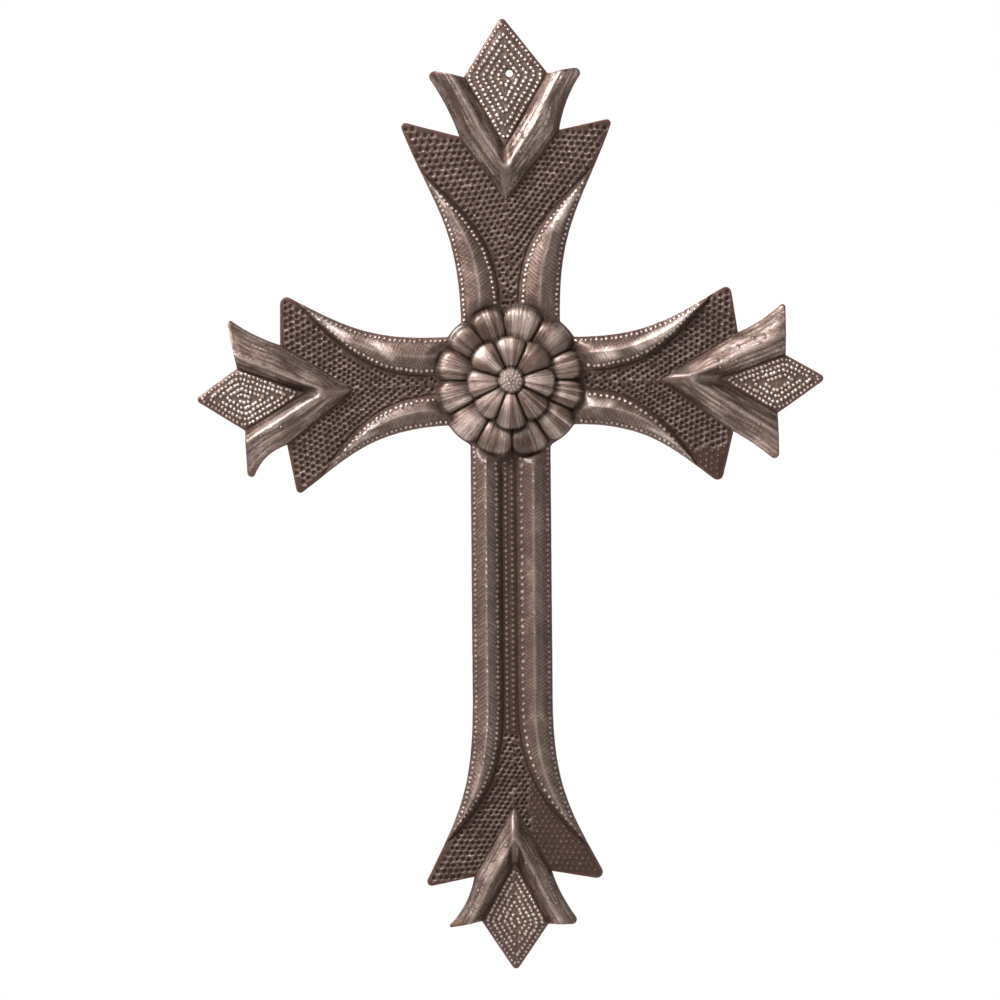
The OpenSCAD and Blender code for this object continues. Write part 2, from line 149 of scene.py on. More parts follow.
def ease(x, low, high):
    t = clipped((x - low) / (high - low))
    return t * t * (3 - 2 * t)


def hump(x, width):
    return np.exp(-(x / width) ** 2)


def spokes(radius, angle):
    return np.column_stack([radius * np.cos(angle), radius * np.sin(angle)])


def leftOf(run):
    return np.column_stack([-run[:, 1], run[:, 0]])


def cloud(points, size, level):
    # slow random unevenness over the points
    return np.array([noise.noise(Vector((x / size, z / size, level))) for x, z in points])


def bezier(points, t):
    t = t[:, None]
    back = 1 - t
    return (
        back ** 3 * points[0]
        + 3 * back ** 2 * t * points[1]
        + 3 * back * t ** 2 * points[2]
        + t ** 3 * points[3]
    )


def cutOf(back, onward, radius):
    # how far back from a corner its rounding starts, and half the corner's angle
    half = math.acos(np.clip(unit(back) @ unit(onward), -1, 1)) / 2
    return radius / math.tan(half), half


def roundCorner(corner, back, onward, radius, steps=5):
    # points on an arc from one side of a corner to the other
    cut, half = cutOf(back, onward, radius)
    middle = corner + unit(unit(back) + unit(onward)) * radius / math.sin(half)
    first = corner + unit(back) * cut - middle
    last = corner + unit(onward) * cut - middle
    opening = math.pi - 2 * half
    shares = np.linspace(0, 1, steps)[:, None]
    arc = np.sin((1 - shares) * opening) * first + np.sin(shares * opening) * last
    return middle + arc / math.sin(opening)


def divided(line, step, closed=False):
    # the same line with no segment longer than step
    ends = np.vstack([line[1:], line[:1]]) if closed else line[1:]
    points = []
    for start, end in zip(line, ends):
        count = max(1, math.ceil(np.linalg.norm(end - start) / step - 0.01))
        points.append(start + (end - start) * (np.arange(count) / count)[:, None])
    if not closed:
        points.append(line[-1:])
    return np.vstack(points)


def walked(line, pitch, start=0.0):
    # points at equal distances along a line
    lengths = np.concatenate([[0], np.cumsum(lengthOf(np.diff(line, axis=0)))])
    at = np.arange(start, lengths[-1], pitch)
    return np.column_stack([np.interp(at, lengths, line[:, 0]), np.interp(at, lengths, line[:, 1])])


def shifted(line, gap):
    # a parallel line, to the left of its direction
    run = np.gradient(line, axis=0)
    run /= lengthOf(run)[:, None]
    return line + gap * leftOf(run)


def toLine(points, line):
    # distance from each point to a line of segments
    best = np.full(len(points), 1e9)
    for start, end in zip(line[:-1], line[1:]):
        run = end - start
        share = clipped((points - start) @ run / (run @ run))
        best = np.minimum(best, lengthOf(points - start - share[:, None] * run))
    return best


def flowingLine(side, half, end, angle, cut):
    # leaves the flower at a half width, runs straight down the shaft and flares
    start = np.array([math.sqrt(sheet["hubRadius"] ** 2 - half ** 2), half])
    bend = np.array([max(side["shaft"], start[0]), half])
    run = end[0] - bend[0]
    pull = sheet["endPull"] * run
    handle = pull * np.array([math.cos(angle), math.sin(angle)])
    points = [bend, bend + np.array([sheet["startPull"] * run, 0]), end - handle, end]
    flare = bezier(points, np.linspace(0, 1 - cut / (3 * pull), 90))
    return np.vstack([start[None], flare]) if bend[0] > start[0] + 0.5 else flare


def buildSide(number, which):
    # one side of an arm, with its lines as (along the arm, out from its middle line)
    measures = {key: values[number] for key, values in arms.items()}
    side = {key: value[which] if isinstance(value, tuple) else value for key, value in measures.items()}
    side["mirror"] = 1 - 2 * which
    side["turn"] = math.radians(90 * number + side["lean"])
    flare, notch, wing, shoulder = (
        np.array([side["reach"] - side[name + "Back"], side[name + "Out"]], dtype=float)
        for name in ("flare", "notch", "wing", "shoulder")
    )
    angle = math.radians(side["slope"])
    back = -np.array([math.cos(angle), math.sin(angle)])
    edge = flowingLine(side, side["waist"], flare, angle, cutOf(back, notch - flare, side["flareRadius"])[0])
    last = int(np.argmin(np.abs(lengthOf(edge - flare) - side["leafShort"])))
    run = edge[last] - edge[last - 1]
    veinAngle = math.atan2(run[1], run[0]) + math.radians(sheet["veinTurn"])
    side["vein"] = flowingLine(side, side["channel"], edge[last], veinAngle, 0)
    side["edge"] = np.vstack([edge, flare[None]])
    side["leafInner"] = np.vstack([side["vein"], side["edge"][last + 1:]])
    wingCut = cutOf(notch - wing, shoulder - wing, side["wingRadius"])[0]
    along = unit(wing - notch)
    k = np.linspace(0, 1, 9)[:, None]
    hollow = notch + (wing - along * wingCut - notch) * k
    hollow = hollow + side["wingHollow"] * 4 * k * (1 - k) * np.array([along[1], -along[0]])
    side["outerCorner"] = np.array([side["reach"] - side["bandOuter"], 0.0])
    side["innerCorner"] = np.array([side["reach"] - side["bandInner"], 0.0])
    side["notch"] = notch
    side["shoulder"] = shoulder
    side["gapMiddle"] = unit(unit(flare - notch) + along)
    side["bandLine"] = np.vstack([side["outerCorner"][None], hollow, wing[None]])
    side["outline"] = np.vstack([
        edge,
        roundCorner(flare, back, notch - flare, side["flareRadius"])[1:],
        hollow,
        roundCorner(wing, notch - wing, shoulder - wing, side["wingRadius"])[1:],
        shoulder[None],
    ])
    return side


def placed(side, points):
    # from (along the arm, out) to (right, up)
    out = points[:, 1] * side["mirror"]
    c, s = math.cos(side["turn"]), math.sin(side["turn"])
    return np.column_stack([points[:, 0] * c - out * s, points[:, 0] * s + out * c])


def local(side, points):
    # from (right, up) to (along the arm, out)
    c, s = math.cos(side["turn"]), math.sin(side["turn"])
    along = points[:, 0] * c + points[:, 1] * s
    return np.column_stack([along, (points[:, 1] * c - points[:, 0] * s) * side["mirror"]])


sides = [[buildSide(number, which) for which in (0, 1)] for number in range(4)]
allSides = [side for pair in sides for side in pair]
topSide = sides[1][1]
hole = placed(topSide, np.array([[topSide["reach"] - sheet["holeBack"], sheet["holeAcross"]]]))[0]


# How bright and how dark each part is painted, from 0 to 1: wear together with painted highlights on the
# raised parts, painted shade in the cuts and along the leaves' inner edges, and patina.
brightAndDark = {
    "petal": (0.17, 0.6),      # wear and painted highlight on every petal, and more along the engraved lines
    # the boss: wear and painted highlight
    "boss": 0.6,
    "flowerShade": (0.8, 0.7),  # painted shade between petals, and under the petals' ends
    # leaves, V bands and lozenges: wear and painted highlight, with a painted highlight line along the ridges
    "leaf": (0.05, 0.12),
    "leafRidge": 0.25,
    "band": (0.12, 0.5),
    "bandRidge": 0.5,
    "lozenge": 0.07,
    "flowerPatina": 0.1,
    "lozengePatina": 0.14,
    # painted shade along the leaf's inner edge, at the foot of its rise, and its width
    "veinShade": 0.35,
    "veinWidth": 2.5,
    "shaftRun": (-5, 40),      # where the shaft's shade ends, from the end of its straight part
}

petals = {
    "outer": {
        "directions": (13, 43.5, 81, 112, 139.5, 166, 195, 224, 257, 285, 319, 348),
        "reach": (34.3, 35.5, 36, 36, 35.7, 35.7, 35.6, 35.9, 36.4, 36.4, 35.9, 34.6),
        "height": 6.0,
        "groove": 0.68,
        "scallop": 3.4,
        "meshRings": (
            0.02, 0.07, 0.14, 0.22, 0.3, 0.38, 0.46, 0.54, 0.62, 0.7, 0.78, 0.84, 0.9, 0.94, 0.97, 0.995,
        ),
    },
    "inner": {
        "directions": (-5, 43, 90, 138, 189, 227, 270, 312),
        "reach": (20.8, 21.8, 20.8, 21.6, 20.8, 21.4, 23.2, 21.6),
        "height": 10.5,
        "groove": 0.8,
        "scallop": 2.3,
        "meshRings": (0.02, 0.08, 0.16, 0.25, 0.34, 0.43, 0.52, 0.61, 0.7, 0.78, 0.86, 0.92, 0.96, 0.99),
    },
}

flower = {
    "flatness": 3.4,           # how flat a petal is across
    "outerCrest": 0.45,
    "outerRise": (0.72, 0.28),  # share of the height at the root, and the rise to the crest
    "outerFall": 2.6,
    "outerFine": 1.15,         # the engraved lines stop short of the tip
    "innerCrest": 0.55,
    "innerRise": (0.84, 0.16),
    "innerFall": (0.45, 0.55),
    "innerDroop": 0.26,
    "lipWidth": 0.9,           # rounded end of the inner petals
    "lipDrop": 1.4,
    "lipShadow": 0.8,
    "tipShadow": (0.3, 0.8),   # past the outer petals, and its width
    "bossRadius": 6.0,
    "bossHeight": 11.8,
    "bossRoot": 8.4,
    "bossGroove": (0.7, 0.55),  # depth and width of the cut round the boss
    "striationDepth": 0.2,
    "striationMix": (0.5, 0.8),  # fine lines, and broad ones
    "striationSpread": (0.35, 1.1),
    "broadLines": 9,
    "cutDepth": 0.6,           # depth and width of the cut between two petals
    "cutWidth": 0.34,
    "grainPitch": 25,
    "columns": 22,             # mesh columns across one petal
}


def petalLay(angle, directions):
    # which petal a direction falls on, and how far across it from -1 to 1
    centres = np.array(directions, dtype=float)
    gaps = (np.roll(centres, -1) - centres) % 360
    turned = (angle - centres[0]) % 360
    starts = (centres - centres[0]) % 360
    index = np.searchsorted(starts, turned, side="right") - 1
    share = (turned - starts[index]) / gaps[index]
    nearer = share > 0.5
    across = np.where(nearer, 2 * share - 2, 2 * share)
    return np.where(nearer, (index + 1) % len(centres), index), across


def petalTip(index, across, ring):
    return np.array(petals[ring]["reach"])[index] - petals[ring]["scallop"] * np.abs(across) ** 3


columnPlaces = np.concatenate([[-1, -0.955], np.linspace(-0.89, 0.89, flower["columns"] - 4), [0.955, 1]])


def striations(ring):
    # one engraved profile for each petal: ridges and grooves turn about from column to column
    count = len(petals[ring]["directions"])
    signs = np.where(np.arange(len(columnPlaces)) % 2, 1, -1)
    lines = signs * rng.uniform(0, 1, (count, len(columnPlaces))) ** 1.5
    broad = rng.uniform(-1, 1, (count, flower["broadLines"]))
    broadPlaces = np.linspace(-1, 1, flower["broadLines"])
    broad = np.array([np.interp(columnPlaces, broadPlaces, row) for row in broad])
    fineShare, broadShare = flower["striationMix"]
    lines = (fineShare * lines + broadShare * broad) * rng.uniform(*flower["striationSpread"], (count, 1))
    lines[:, [0, 1, -2, -1]] = 0
    return lines


engraved = {ring: striations(ring) for ring in ("inner", "outer")}


def lineValue(lines, index, across):
    place = np.interp(across, columnPlaces, np.arange(len(columnPlaces)))
    low = np.minimum(place.astype(int), len(columnPlaces) - 2)
    part = place - low
    return lines[index, low] * (1 - part) + lines[index, low + 1] * part


def ringRelief(ring, r, angle):
    # how far across its petal each point lies, the petal's tip, plain height, cut to the next one and lines
    petal = petals[ring]
    index, across = petalLay(angle, petal["directions"])
    full = np.sqrt(clipped(1 - np.abs(across) ** flower["flatness"]))
    height = petal["height"] * (petal["groove"] + (1 - petal["groove"]) * full)
    apart = (1 - np.abs(across)) * np.radians(180 / len(petal["directions"])) * r
    lines = lineValue(engraved[ring], index, across)
    return across, petalTip(index, across, ring), height, hump(apart, flower["cutWidth"]), lines


def flowerRelief(points):
    # height and finish of the flower, without its boss dots
    r = lengthOf(points)
    angle = np.degrees(np.arctan2(points[:, 1], points[:, 0]))
    outerAcross, outerTip, outer, outerCut, outerLines = ringRelief("outer", r, angle)
    innerAcross, innerTip, inner, innerCut, innerLines = ringRelief("inner", r, angle)

    k = clipped((r - innerTip) / (outerTip - innerTip))
    crest = flower["outerCrest"]
    rise = flower["outerRise"][0] + flower["outerRise"][1] * np.sin(clipped(k / crest) * math.pi / 2)
    fall = np.sqrt(clipped(1 - (clipped(k - crest) / (1 - crest)) ** flower["outerFall"]))
    outer = outer * rise * fall - flower["cutDepth"] * outerCut * fall
    fine = np.sin(clipped(k * flower["outerFine"]) * math.pi) ** 0.5
    outer = outer + flower["striationDepth"] * outerLines * fine

    root = flower["bossRadius"]
    j = clipped((r - root) / (innerTip - root))
    swell = np.sin(clipped(j / flower["innerCrest"]) * math.pi / 2)
    rise = flower["innerRise"][0] + flower["innerRise"][1] * swell
    droop = clipped((j - flower["innerFall"][0]) / flower["innerFall"][1]) ** 2
    inner = inner * (rise - flower["innerDroop"] * droop) - flower["cutDepth"] * innerCut
    inner = inner + flower["striationDepth"] * innerLines * np.sin(j * math.pi) ** 0.5
    lip = clipped((innerTip - r) / flower["lipWidth"])
    inner = inner - flower["lipDrop"] * (1 - np.sqrt(1 - (1 - lip) ** 2 + 1e-9))

    onInner = r < innerTip
    inside = r < outerTip
    dome = np.sqrt(clipped(1 - (r / root) ** 2))
    boss = flower["bossRoot"] + (flower["bossHeight"] - flower["bossRoot"]) * dome
    height = np.where(r < root, boss, np.where(onInner, inner, outer))
    height = np.where(inside, height, 0)
    # painted shade under the inner petals' ends, round the boss's foot, past the outer petals' tips and in
    # the cuts between petals
    underLip = np.exp(-np.clip(r - innerTip, 0, 9) / flower["lipShadow"]) * (r >= innerTip)
    bossFoot = hump(r - root, flower["bossGroove"][1])
    tipFoot = hump(r - outerTip - flower["tipShadow"][0], flower["tipShadow"][1])
    groove = np.where(onInner, innerCut, outerCut * fall)
    cutShade, footShade = brightAndDark["flowerShade"]
    shadows = [cutShade * groove, footShade * underLip, footShade * bossFoot, footShade * tipFoot]
    across = np.where(onInner, innerAcross, outerAcross)
    lines = np.where(onInner, innerLines, outerLines)
    # wear and painted highlight across each petal's middle, more along its engraved lines
    shine = clipped(1 - np.abs(across) ** 3) * (brightAndDark["petal"][0] + brightAndDark["petal"][1] * lines)
    return {
        "height": height - flower["bossGroove"][0] * bossFoot * inside,
        "inside": inside,
        "cavityShade": np.maximum.reduce(shadows),
        "crown": np.where(r < root, brightAndDark["boss"], shine),
        "grain": np.column_stack([r, np.radians(angle) * flower["grainPitch"]]),
        "outerTip": outerTip,
    }


relief = {
    "leafHeight": 4.5,
    "leafFull": (1.5, 10),     # leaf widths at which it starts to rise and stands at full height
    "leafFade": 0.7,
    "leafRound": 1.45,         # how full the leaf's two slopes are
    "strokeLean": 0.8,         # how far a chisel stroke runs on for each millimetre from the ridge
    "strokeDepth": 0.1,
    "patchSize": 15.0,         # length of the painted highlight patches along the leaves, where the strokes are also worn flatter
    "patchAcross": 2.2,
    "patchBlend": 14,
    "patchEdge": (-0.05, 0.3),
    "patchRidge": (0.5, 0.95),  # they lie on the upper part of the leaf's slopes
    "patchSmooth": 0.7,        # how far they have worn the strokes down
    "strokeCount": 400,
    "strokeSpread": (0.25, 1.0),
    "bandHeight": 6.6,
    "bandSharp": (1.35, 1.2),
    "bandStreak": 0.36,
    "streakLines": 18,
    "streakRun": 9.0,          # how far a streak goes before it changes
    "streakMargin": 0.15,
    "streakRows": 16,
    "streakMix": (0.75, 0.4),  # random, and turn about from line to line
    "apexBlend": 4.0,          # width of the blend where a V band's two halves meet
    "lozengeDome": 0.4,
    "domeRun": 7,
    "panelRise": 0.6,          # how far the sheet stands off the wall inside its edges
    "panelRun": (0.4, 4),      # distances from the edge over which it does
    "panelStart": (30, 38),
    "armStart": (32, 42),      # distances from the flower's middle over which the arms' relief rises
    "grooveDepth": 0.45,
    "grooveWidth": 0.4,
    "grooveShares": (1.0, 0.7, 0.8),   # along the leaf, and at the V band's outer and inner edges
    "handBump": 0.3,           # slow unevenness of hand work
    "handSize": 11.0,
    "handFine": (0.3, 3.1),    # height and size of its finer part
    "handStart": (8, 14),
    "ridgeHighlightWidths": (0.9, 0.8),  # of the painted highlight lines along the ridges of a leaf and a V band
    "grainAcross": 15,
    "grainApart": 40,
}


def past(side, at):
    # True on the tip's side of the V band's outer edge
    fromCorner = cross(side["notch"] - side["outerCorner"], at - side["outerCorner"]) < 0
    fromNotch = cross(side["gapMiddle"], at - side["notch"]) < 0
    return np.where(at[:, 1] <= side["notch"][1], fromCorner, fromNotch)


def leafLay(side, at):
    # the leaf's inner edge and its width at each point
    inner = np.interp(at[:, 0], side["leafInner"][:, 0], side["leafInner"][:, 1])
    outer = np.interp(at[:, 0], side["edge"][:, 0], side["edge"][:, 1])
    return inner, np.maximum(outer - inner, 0.01)


def leafRidge(side):
    return side["vein"] + (side["ridgeShare"] * leafLay(side, side["vein"])[1])[:, None] * np.array([0, 1])


streakRows = relief["streakRows"]
streakShare, turnShare = relief["streakMix"]
strokeTable = rng.uniform(*relief["strokeSpread"], relief["strokeCount"])
streakTable = rng.uniform(-1, 1, (len(allSides), streakRows, relief["streakLines"] + 2))
turnAbout = np.where(np.arange(relief["streakLines"] + 2) % 2, 1, -1)
streakTable = streakShare * streakTable + turnShare * turnAbout


def streakOf(number, w, along):
    # lengthwise file and chisel lines that come and go
    lane = clipped(w) * relief["streakLines"]
    part = (along / relief["streakRun"]) % streakRows
    row = part.astype(int) % streakRows
    low = np.clip(lane.astype(int), 0, relief["streakLines"])
    table = streakTable[number]

    def across(rows):
        return table[rows, low] * (1 - lane + low) + table[rows, low + 1] * (lane - low)

    share = ease(part - row, 0, 1)
    return across(row) * (1 - share) + across((row + 1) % streakRows) * share


def armRelief(side, number, at):
    # height and finish of an arm, before its beads and pits
    inner, width = leafLay(side, at)
    t = (at[:, 1] - inner) / width
    whole = side["shoulder"] - side["innerCorner"]
    isPast = past(side, at)
    isBeyond = cross(whole, at - side["innerCorner"]) < 0
    isLozenge = isPast & isBeyond
    isBand = isPast & ~isBeyond
    isLeaf = ~isPast & (t > 0)
    isField = ~isPast & ~isLeaf

    ridge = side["ridgeShare"]
    slope = np.where(t < ridge, ridge, 1 - ridge)
    narrow, wide = relief["leafFull"]
    full = clipped((width - narrow) / (wide - narrow)) ** relief["leafFade"]
    profile = 1 - clipped(np.abs(t - ridge) / slope) ** relief["leafRound"]
    off = at[:, 1] - inner - ridge * width
    phase = (at[:, 0] - relief["strokeLean"] * np.abs(off)) / side["strokePitch"]
    wave = 1 - 4 * np.abs(phase % 1 - 0.5)
    stroke = wave * strokeTable[np.floor(phase).astype(int) % len(strokeTable)]
    # painted highlight patches on the upper slopes of the leaves, where the strokes are also worn flatter
    lay = np.column_stack([at[:, 0] / relief["patchSize"], np.clip(t, -1, 2) * relief["patchAcross"]])
    wornHighlightPatch = ease(cloud(lay, 1, 4.3 + number), *relief["patchEdge"])
    wornHighlightPatch = wornHighlightPatch * ease(profile, *relief["patchRidge"]) * full
    wornHighlightPatch = wornHighlightPatch * ease(at[:, 0], side["patchFrom"], side["patchFrom"] + relief["patchBlend"])
    left = 1 - relief["patchSmooth"] * wornHighlightPatch
    strokeHeight = relief["strokeDepth"] * stroke * full ** 0.5 * ease(profile, 0, 0.3) * left
    leaf = relief["leafHeight"] * full * profile + strokeHeight

    outward = toLine(at, side["bandLine"])
    inward = np.abs(cross(unit(whole), at - side["innerCorner"]))
    w = outward / (outward + inward + 1e-6)
    middle = (at[:, 0] - side["outerCorner"][0]) / (side["innerCorner"][0] - side["outerCorner"][0])
    apex = ease(at[:, 1], 0, relief["apexBlend"])
    w = clipped(middle) * (1 - apex) + w * apex
    streak = streakOf(number, w, at @ unit(whole)) * apex
    crest = side["bandRidge"]
    outerFacet = 1 - clipped((crest - w) / crest) ** relief["bandSharp"][0]
    innerFacet = 1 - clipped((w - crest) / (1 - crest)) ** relief["bandSharp"][1]
    band = relief["bandHeight"] * np.where(w < crest, outerFacet, innerFacet)
    margin = relief["streakMargin"]
    streakHeight = relief["bandStreak"] * side["shine"] ** 2 * streak
    band = band + streakHeight * ease(w, 0, margin) * ease(1 - w, 0, margin)

    dome = relief["lozengeDome"] * ease(inward, 0, relief["domeRun"])
    height = np.select([isLeaf, isBand, isLozenge], [leaf, band, dome], 0.0)
    # scribed lines, sunk into the sheet, with painted shade in them
    scribed = (side["vein"], side["bandLine"][:2], np.array([side["innerCorner"], side["shoulder"]]))
    line = np.zeros(len(at))
    for path, share in zip(scribed, relief["grooveShares"]):
        line = np.maximum(line, share * hump(toLine(at, path), relief["grooveWidth"]))

    # painted highlight lines along the ridges and painted highlight patches, over wear along the strokes and
    # streaks
    leafRidgeHighlight = hump((t - ridge) * width, relief["ridgeHighlightWidths"][0]) * full
    bandRidgeHighlight = hump((w - crest) * (outward + inward), relief["ridgeHighlightWidths"][1])
    leafShine = brightAndDark["leaf"][0] + brightAndDark["leaf"][1] * stroke + side["patchHighlight"] * wornHighlightPatch
    leafShine = np.maximum(leafRidgeHighlight * brightAndDark["leafRidge"], leafShine)
    bandShine = brightAndDark["band"][0] + brightAndDark["band"][1] * streak
    bandShine = np.maximum(bandRidgeHighlight * brightAndDark["bandRidge"], bandShine) * side["shine"]
    downShaft = ease(at[:, 0], side["shaft"] + brightAndDark["shaftRun"][0], side["shaft"] + brightAndDark["shaftRun"][1])
    # painted shade along the leaf's inner edge, then a darker colour down the shaft
    leafDarkening = brightAndDark["veinShade"] * hump(at[:, 1] - inner, brightAndDark["veinWidth"])
    leafDarkening = leafDarkening + side["shaftShade"] * (1 - downShaft)
    across = np.select([isLeaf, isBand], [phase * side["strokePitch"], w * relief["grainAcross"]], at[:, 0])
    along = np.select([isLeaf, isBand], [np.abs(off), at[:, 0] + at[:, 1]], at[:, 1])
    return {
        "height": height - relief["grooveDepth"] * line,
        "cavityShade": line,
        "crown": np.select([isLeaf, isBand, isLozenge], [leafShine, bandShine, brightAndDark["lozenge"]], 0.0),
        "patinaAndShade": np.select([isField, isLozenge, isLeaf], [1.0, brightAndDark["lozengePatina"], leafDarkening], 0.0),
        "grain": np.column_stack([along, across + relief["grainApart"] * number]),
    }


def sidesOf(points):
    # number of the arm's side that each point lies on
    lays = np.stack([local(pair[0], points) for pair in sides])
    arm = np.argmax(lays[:, :, 0], axis=0)
    out = np.take_along_axis(lays[:, :, 1], arm[None], axis=0)[0]
    return arm * 2 + (out < 0)


def handWork(points):
    # slow unevenness that hand hammering leaves
    share, size = relief["handFine"]
    return relief["handBump"] * (cloud(points, relief["handSize"], 1.7) + share * cloud(points, size, 9.2))


def reliefOf(points):
    # height and finish of the plain relief, before beads and pits
    petal = flowerRelief(points)
    number = sidesOf(points)
    result = {key: np.zeros(len(points)) for key in ("height", "cavityShade", "crown", "patinaAndShade")}
    result["grain"] = np.zeros((len(points), 2))
    for i, side in enumerate(allSides):
        mine = number == i
        if mine.any():
            for key, values in armRelief(side, i, local(side, points[mine])).items():
                result[key][mine] = values
    r = lengthOf(points)
    rise = ease(r, *relief["armStart"])
    plain = result["height"] * rise
    inside = petal["inside"]
    result["height"] = np.where(inside, np.maximum(petal["height"], np.minimum(plain, 1)), plain)
    result["height"] = result["height"] + handWork(points) * ease(r, *relief["handStart"])
    result["cavityShade"] = np.where(inside, petal["cavityShade"], np.maximum(result["cavityShade"], petal["cavityShade"]))
    result["crown"] = np.where(inside, petal["crown"], result["crown"] * rise)
    result["patinaAndShade"] = np.where(inside, brightAndDark["flowerPatina"], result["patinaAndShade"])
    result["grain"] = np.where(inside[:, None], petal["grain"], result["grain"])
    return result


def hubArc(here, onward):
    # the flat sheet's edge round the flower, from one arm to the next
    start, end = np.degrees([math.atan2(here[1], here[0]), math.atan2(onward[1], onward[0])])
    if end < start:
        end += 360
    turn = np.linspace(start, end, 14)[1:-1]
    across = petalLay(turn, petals["outer"]["directions"])[1]
    dip = np.sin((turn - start) / (end - start) * math.pi) ** 0.5
    return spokes(sheet["hubRadius"] - sheet["hubScallop"] * np.abs(across) ** 2 * dip, np.radians(turn))


def inwardNormals(line):
    run = np.roll(line, -1, axis=0) - np.roll(line, 1, axis=0)
    return leftOf(run / lengthOf(run)[:, None])


def sheetOutline():
    # the cut edge, anticlockwise from the right arm's lower side
    parts = []
    for number, (first, second) in enumerate(sides):
        tip = np.array([first["reach"], 0.0])
        lower = second["shoulder"] * np.array([1, -1]) - tip
        nextSide = sides[(number + 1) % len(sides)][1]
        parts.append(placed(second, second["outline"]))
        parts.append(placed(first, roundCorner(tip, lower, first["shoulder"] - tip, sheet["tipRadius"], 6)))
        parts.append(placed(first, first["outline"])[::-1])
        parts.append(hubArc(parts[-1][-1], placed(nextSide, nextSide["outline"][:1])[0]))
    line = np.vstack(parts)
    line = line[lengthOf(np.roll(line, -1, axis=0) - line) > 0.25]
    line = divided(line, sheet["outlineStep"], closed=True)
    wander = 0.5 + 0.5 * cloud(line, sheet["cutSize"], 3.3)
    return line + inwardNormals(line) * (sheet["cutWobble"] * wander)[:, None]


def treeOf(points):
    tree = kdtree.KDTree(len(points))
    for i, (x, z) in enumerate(points):
        tree.insert((x, z, 0), i)
    tree.balance()
    return tree


def away(tree, points):
    return np.array([tree.find((x, z, 0))[2] for x, z in points]) if len(points) else np.zeros(0)


marks = {
    "beadRadius": 0.98,
    "beadHeight": 0.72,
    "beadSpread": (0.84, 1.12),
    "beadRound": 0.8,
    "beadBright": 0.6,
    "beadFootShade": (1.12, 0.22, 0.65),    # place, width and darkness of the painted shade in the ring round a bead's foot
    "pitRadius": 1.0,
    "pitSpread": 0.3,          # how much bigger and wider apart the pits are out in the flares
    "pitVary": (0.88, 1.12),
    "pitDepth": 0.75,
    "pitFlat": 4,              # how flat its bottom is
    # how far up a pit's sides its painted shade reaches
    "pitDark": 0.35,
    "edgeBead": 0.84,          # beads beside the outline are this much smaller
    "edgeRow": 2.3,            # those nearer to it than this
    "dotRadius": 0.66,         # small raised dots on the panels and bands
    "dotSpread": (0.8, 1.15),
    "shaftDot": 0.82,          # and those in the shaft's channel and along its ridge
    "shaftDotSpread": (0.85, 1.15),
    "shaftDotShine": 0.8,
    "pitRim": 0.14,
    "pitRimPlace": (1.15, 0.17),       # place and width of the raised rim, and of the painted highlight line on it
    "pitLinePlace": (1.1, 0.14),
    "pitRimHighlight": (0.18, 0.75),       # painted highlight on the rim: everywhere, and more on its lower right side
    # how much the painted highlight lightens the patina there
    "highlightLift": 0.5,
    "burrAndHighlightSide": (0.35, -0.9),  # side where each pit's rim stands higher and gets more painted highlight: the lower right, whose inner wall faces the key lamp
    "burrAndHighlightSpread": (0.5, 1),
    "innerRow": 2.2,           # bead rows: out from the leaf's inner edge, and in from the outline
    "outerRow": 1.6,
    "rowStart": 0.8,
    "rowLeast": (2.0, 3.3),    # leaf widths below which a row stops
    "edgePitch": 2.4,
    "ridgePitch": 3.1,
    "ridgeRun": (2.0, 35),     # where the ridge's dots start, and how far they go past the shaft
    "channelPitch": 2.6,       # dots down the shaft's channel, and how far they stand from its middle
    "channelOffset": 1.5,
    "channelOver": 14,         # how far they run on past the shaft
    "bandPlaces": ((0.12, 0.8), (0.2, 0.75)),  # where a V band's dots may fall, along and across
    "lozengeStart": 1.5,
    "pitRowStart": 1.5,
    "pitRowGap": 2.25,
    "pitRowOpen": 0.01,        # each row of pits stands this much wider than the last
    "pitPitch": 2.4,
    "pitStart": 20,
    "pitMargins": (0.1, 1.2, 1.7),     # from the middle line, the leaf and the outline
    "flowerMargins": (1.4, 1.6),       # beads and pits past the petals
    "beadMargin": 1.15,
    "least": 1.75,             # nearest that two marks' middles come
    "wander": 0.25,
    "punches": ((-1.3, 36.4), (0.9, 36.9)),    # stray punch marks at the top petal's tip
    "bossRings": ((0, 1), (1.7, 5), (3.2, 10), (4.7, 15)),
    "bossBead": 0.68,
}


def insetKite(corners, gap):
    # a convex outline moved inwards, or None once nothing is left
    count = len(corners)
    runs = [unit(corners[(i + 1) % count] - corners[i]) for i in range(count)]
    starts = [corner + gap * np.array([-run[1], run[0]]) for corner, run in zip(corners, runs)]
    shares = [
        cross(starts[i] - starts[i - 1], runs[i]) / cross(runs[i - 1], runs[i])
        for i in range(count)
    ]
    moved = np.array([starts[i - 1] + shares[i] * runs[i - 1] for i in range(count)])
    onward = np.roll(moved, -1, axis=0) - moved
    before = np.roll(corners, -1, axis=0) - corners
    return moved if ((onward * before).sum(axis=1) > 0).all() else None


def softened(corners, times=3, bite=0.07):
    # the outline with its corners cut off several times
    for _ in range(times):
        onward = np.roll(corners, -1, axis=0)
        cuts = [corners * (1 - bite) + onward * bite, corners * bite + onward * (1 - bite)]
        corners = np.stack(cuts, axis=1).reshape(-1, 2)
    return corners


def leafBeads(side):
    # a row inside each long edge of the leaf
    lines = (shifted(side["vein"], marks["innerRow"]), shifted(side["edge"][:-1], -marks["outerRow"]))
    rows = []
    for line, pitch, least in zip(lines, (side["rowPitch"], marks["edgePitch"]), marks["rowLeast"]):
        row = walked(line, pitch, marks["rowStart"])
        rows.append(row[leafLay(side, row)[1] > least])
    return placed(side, np.vstack(rows))


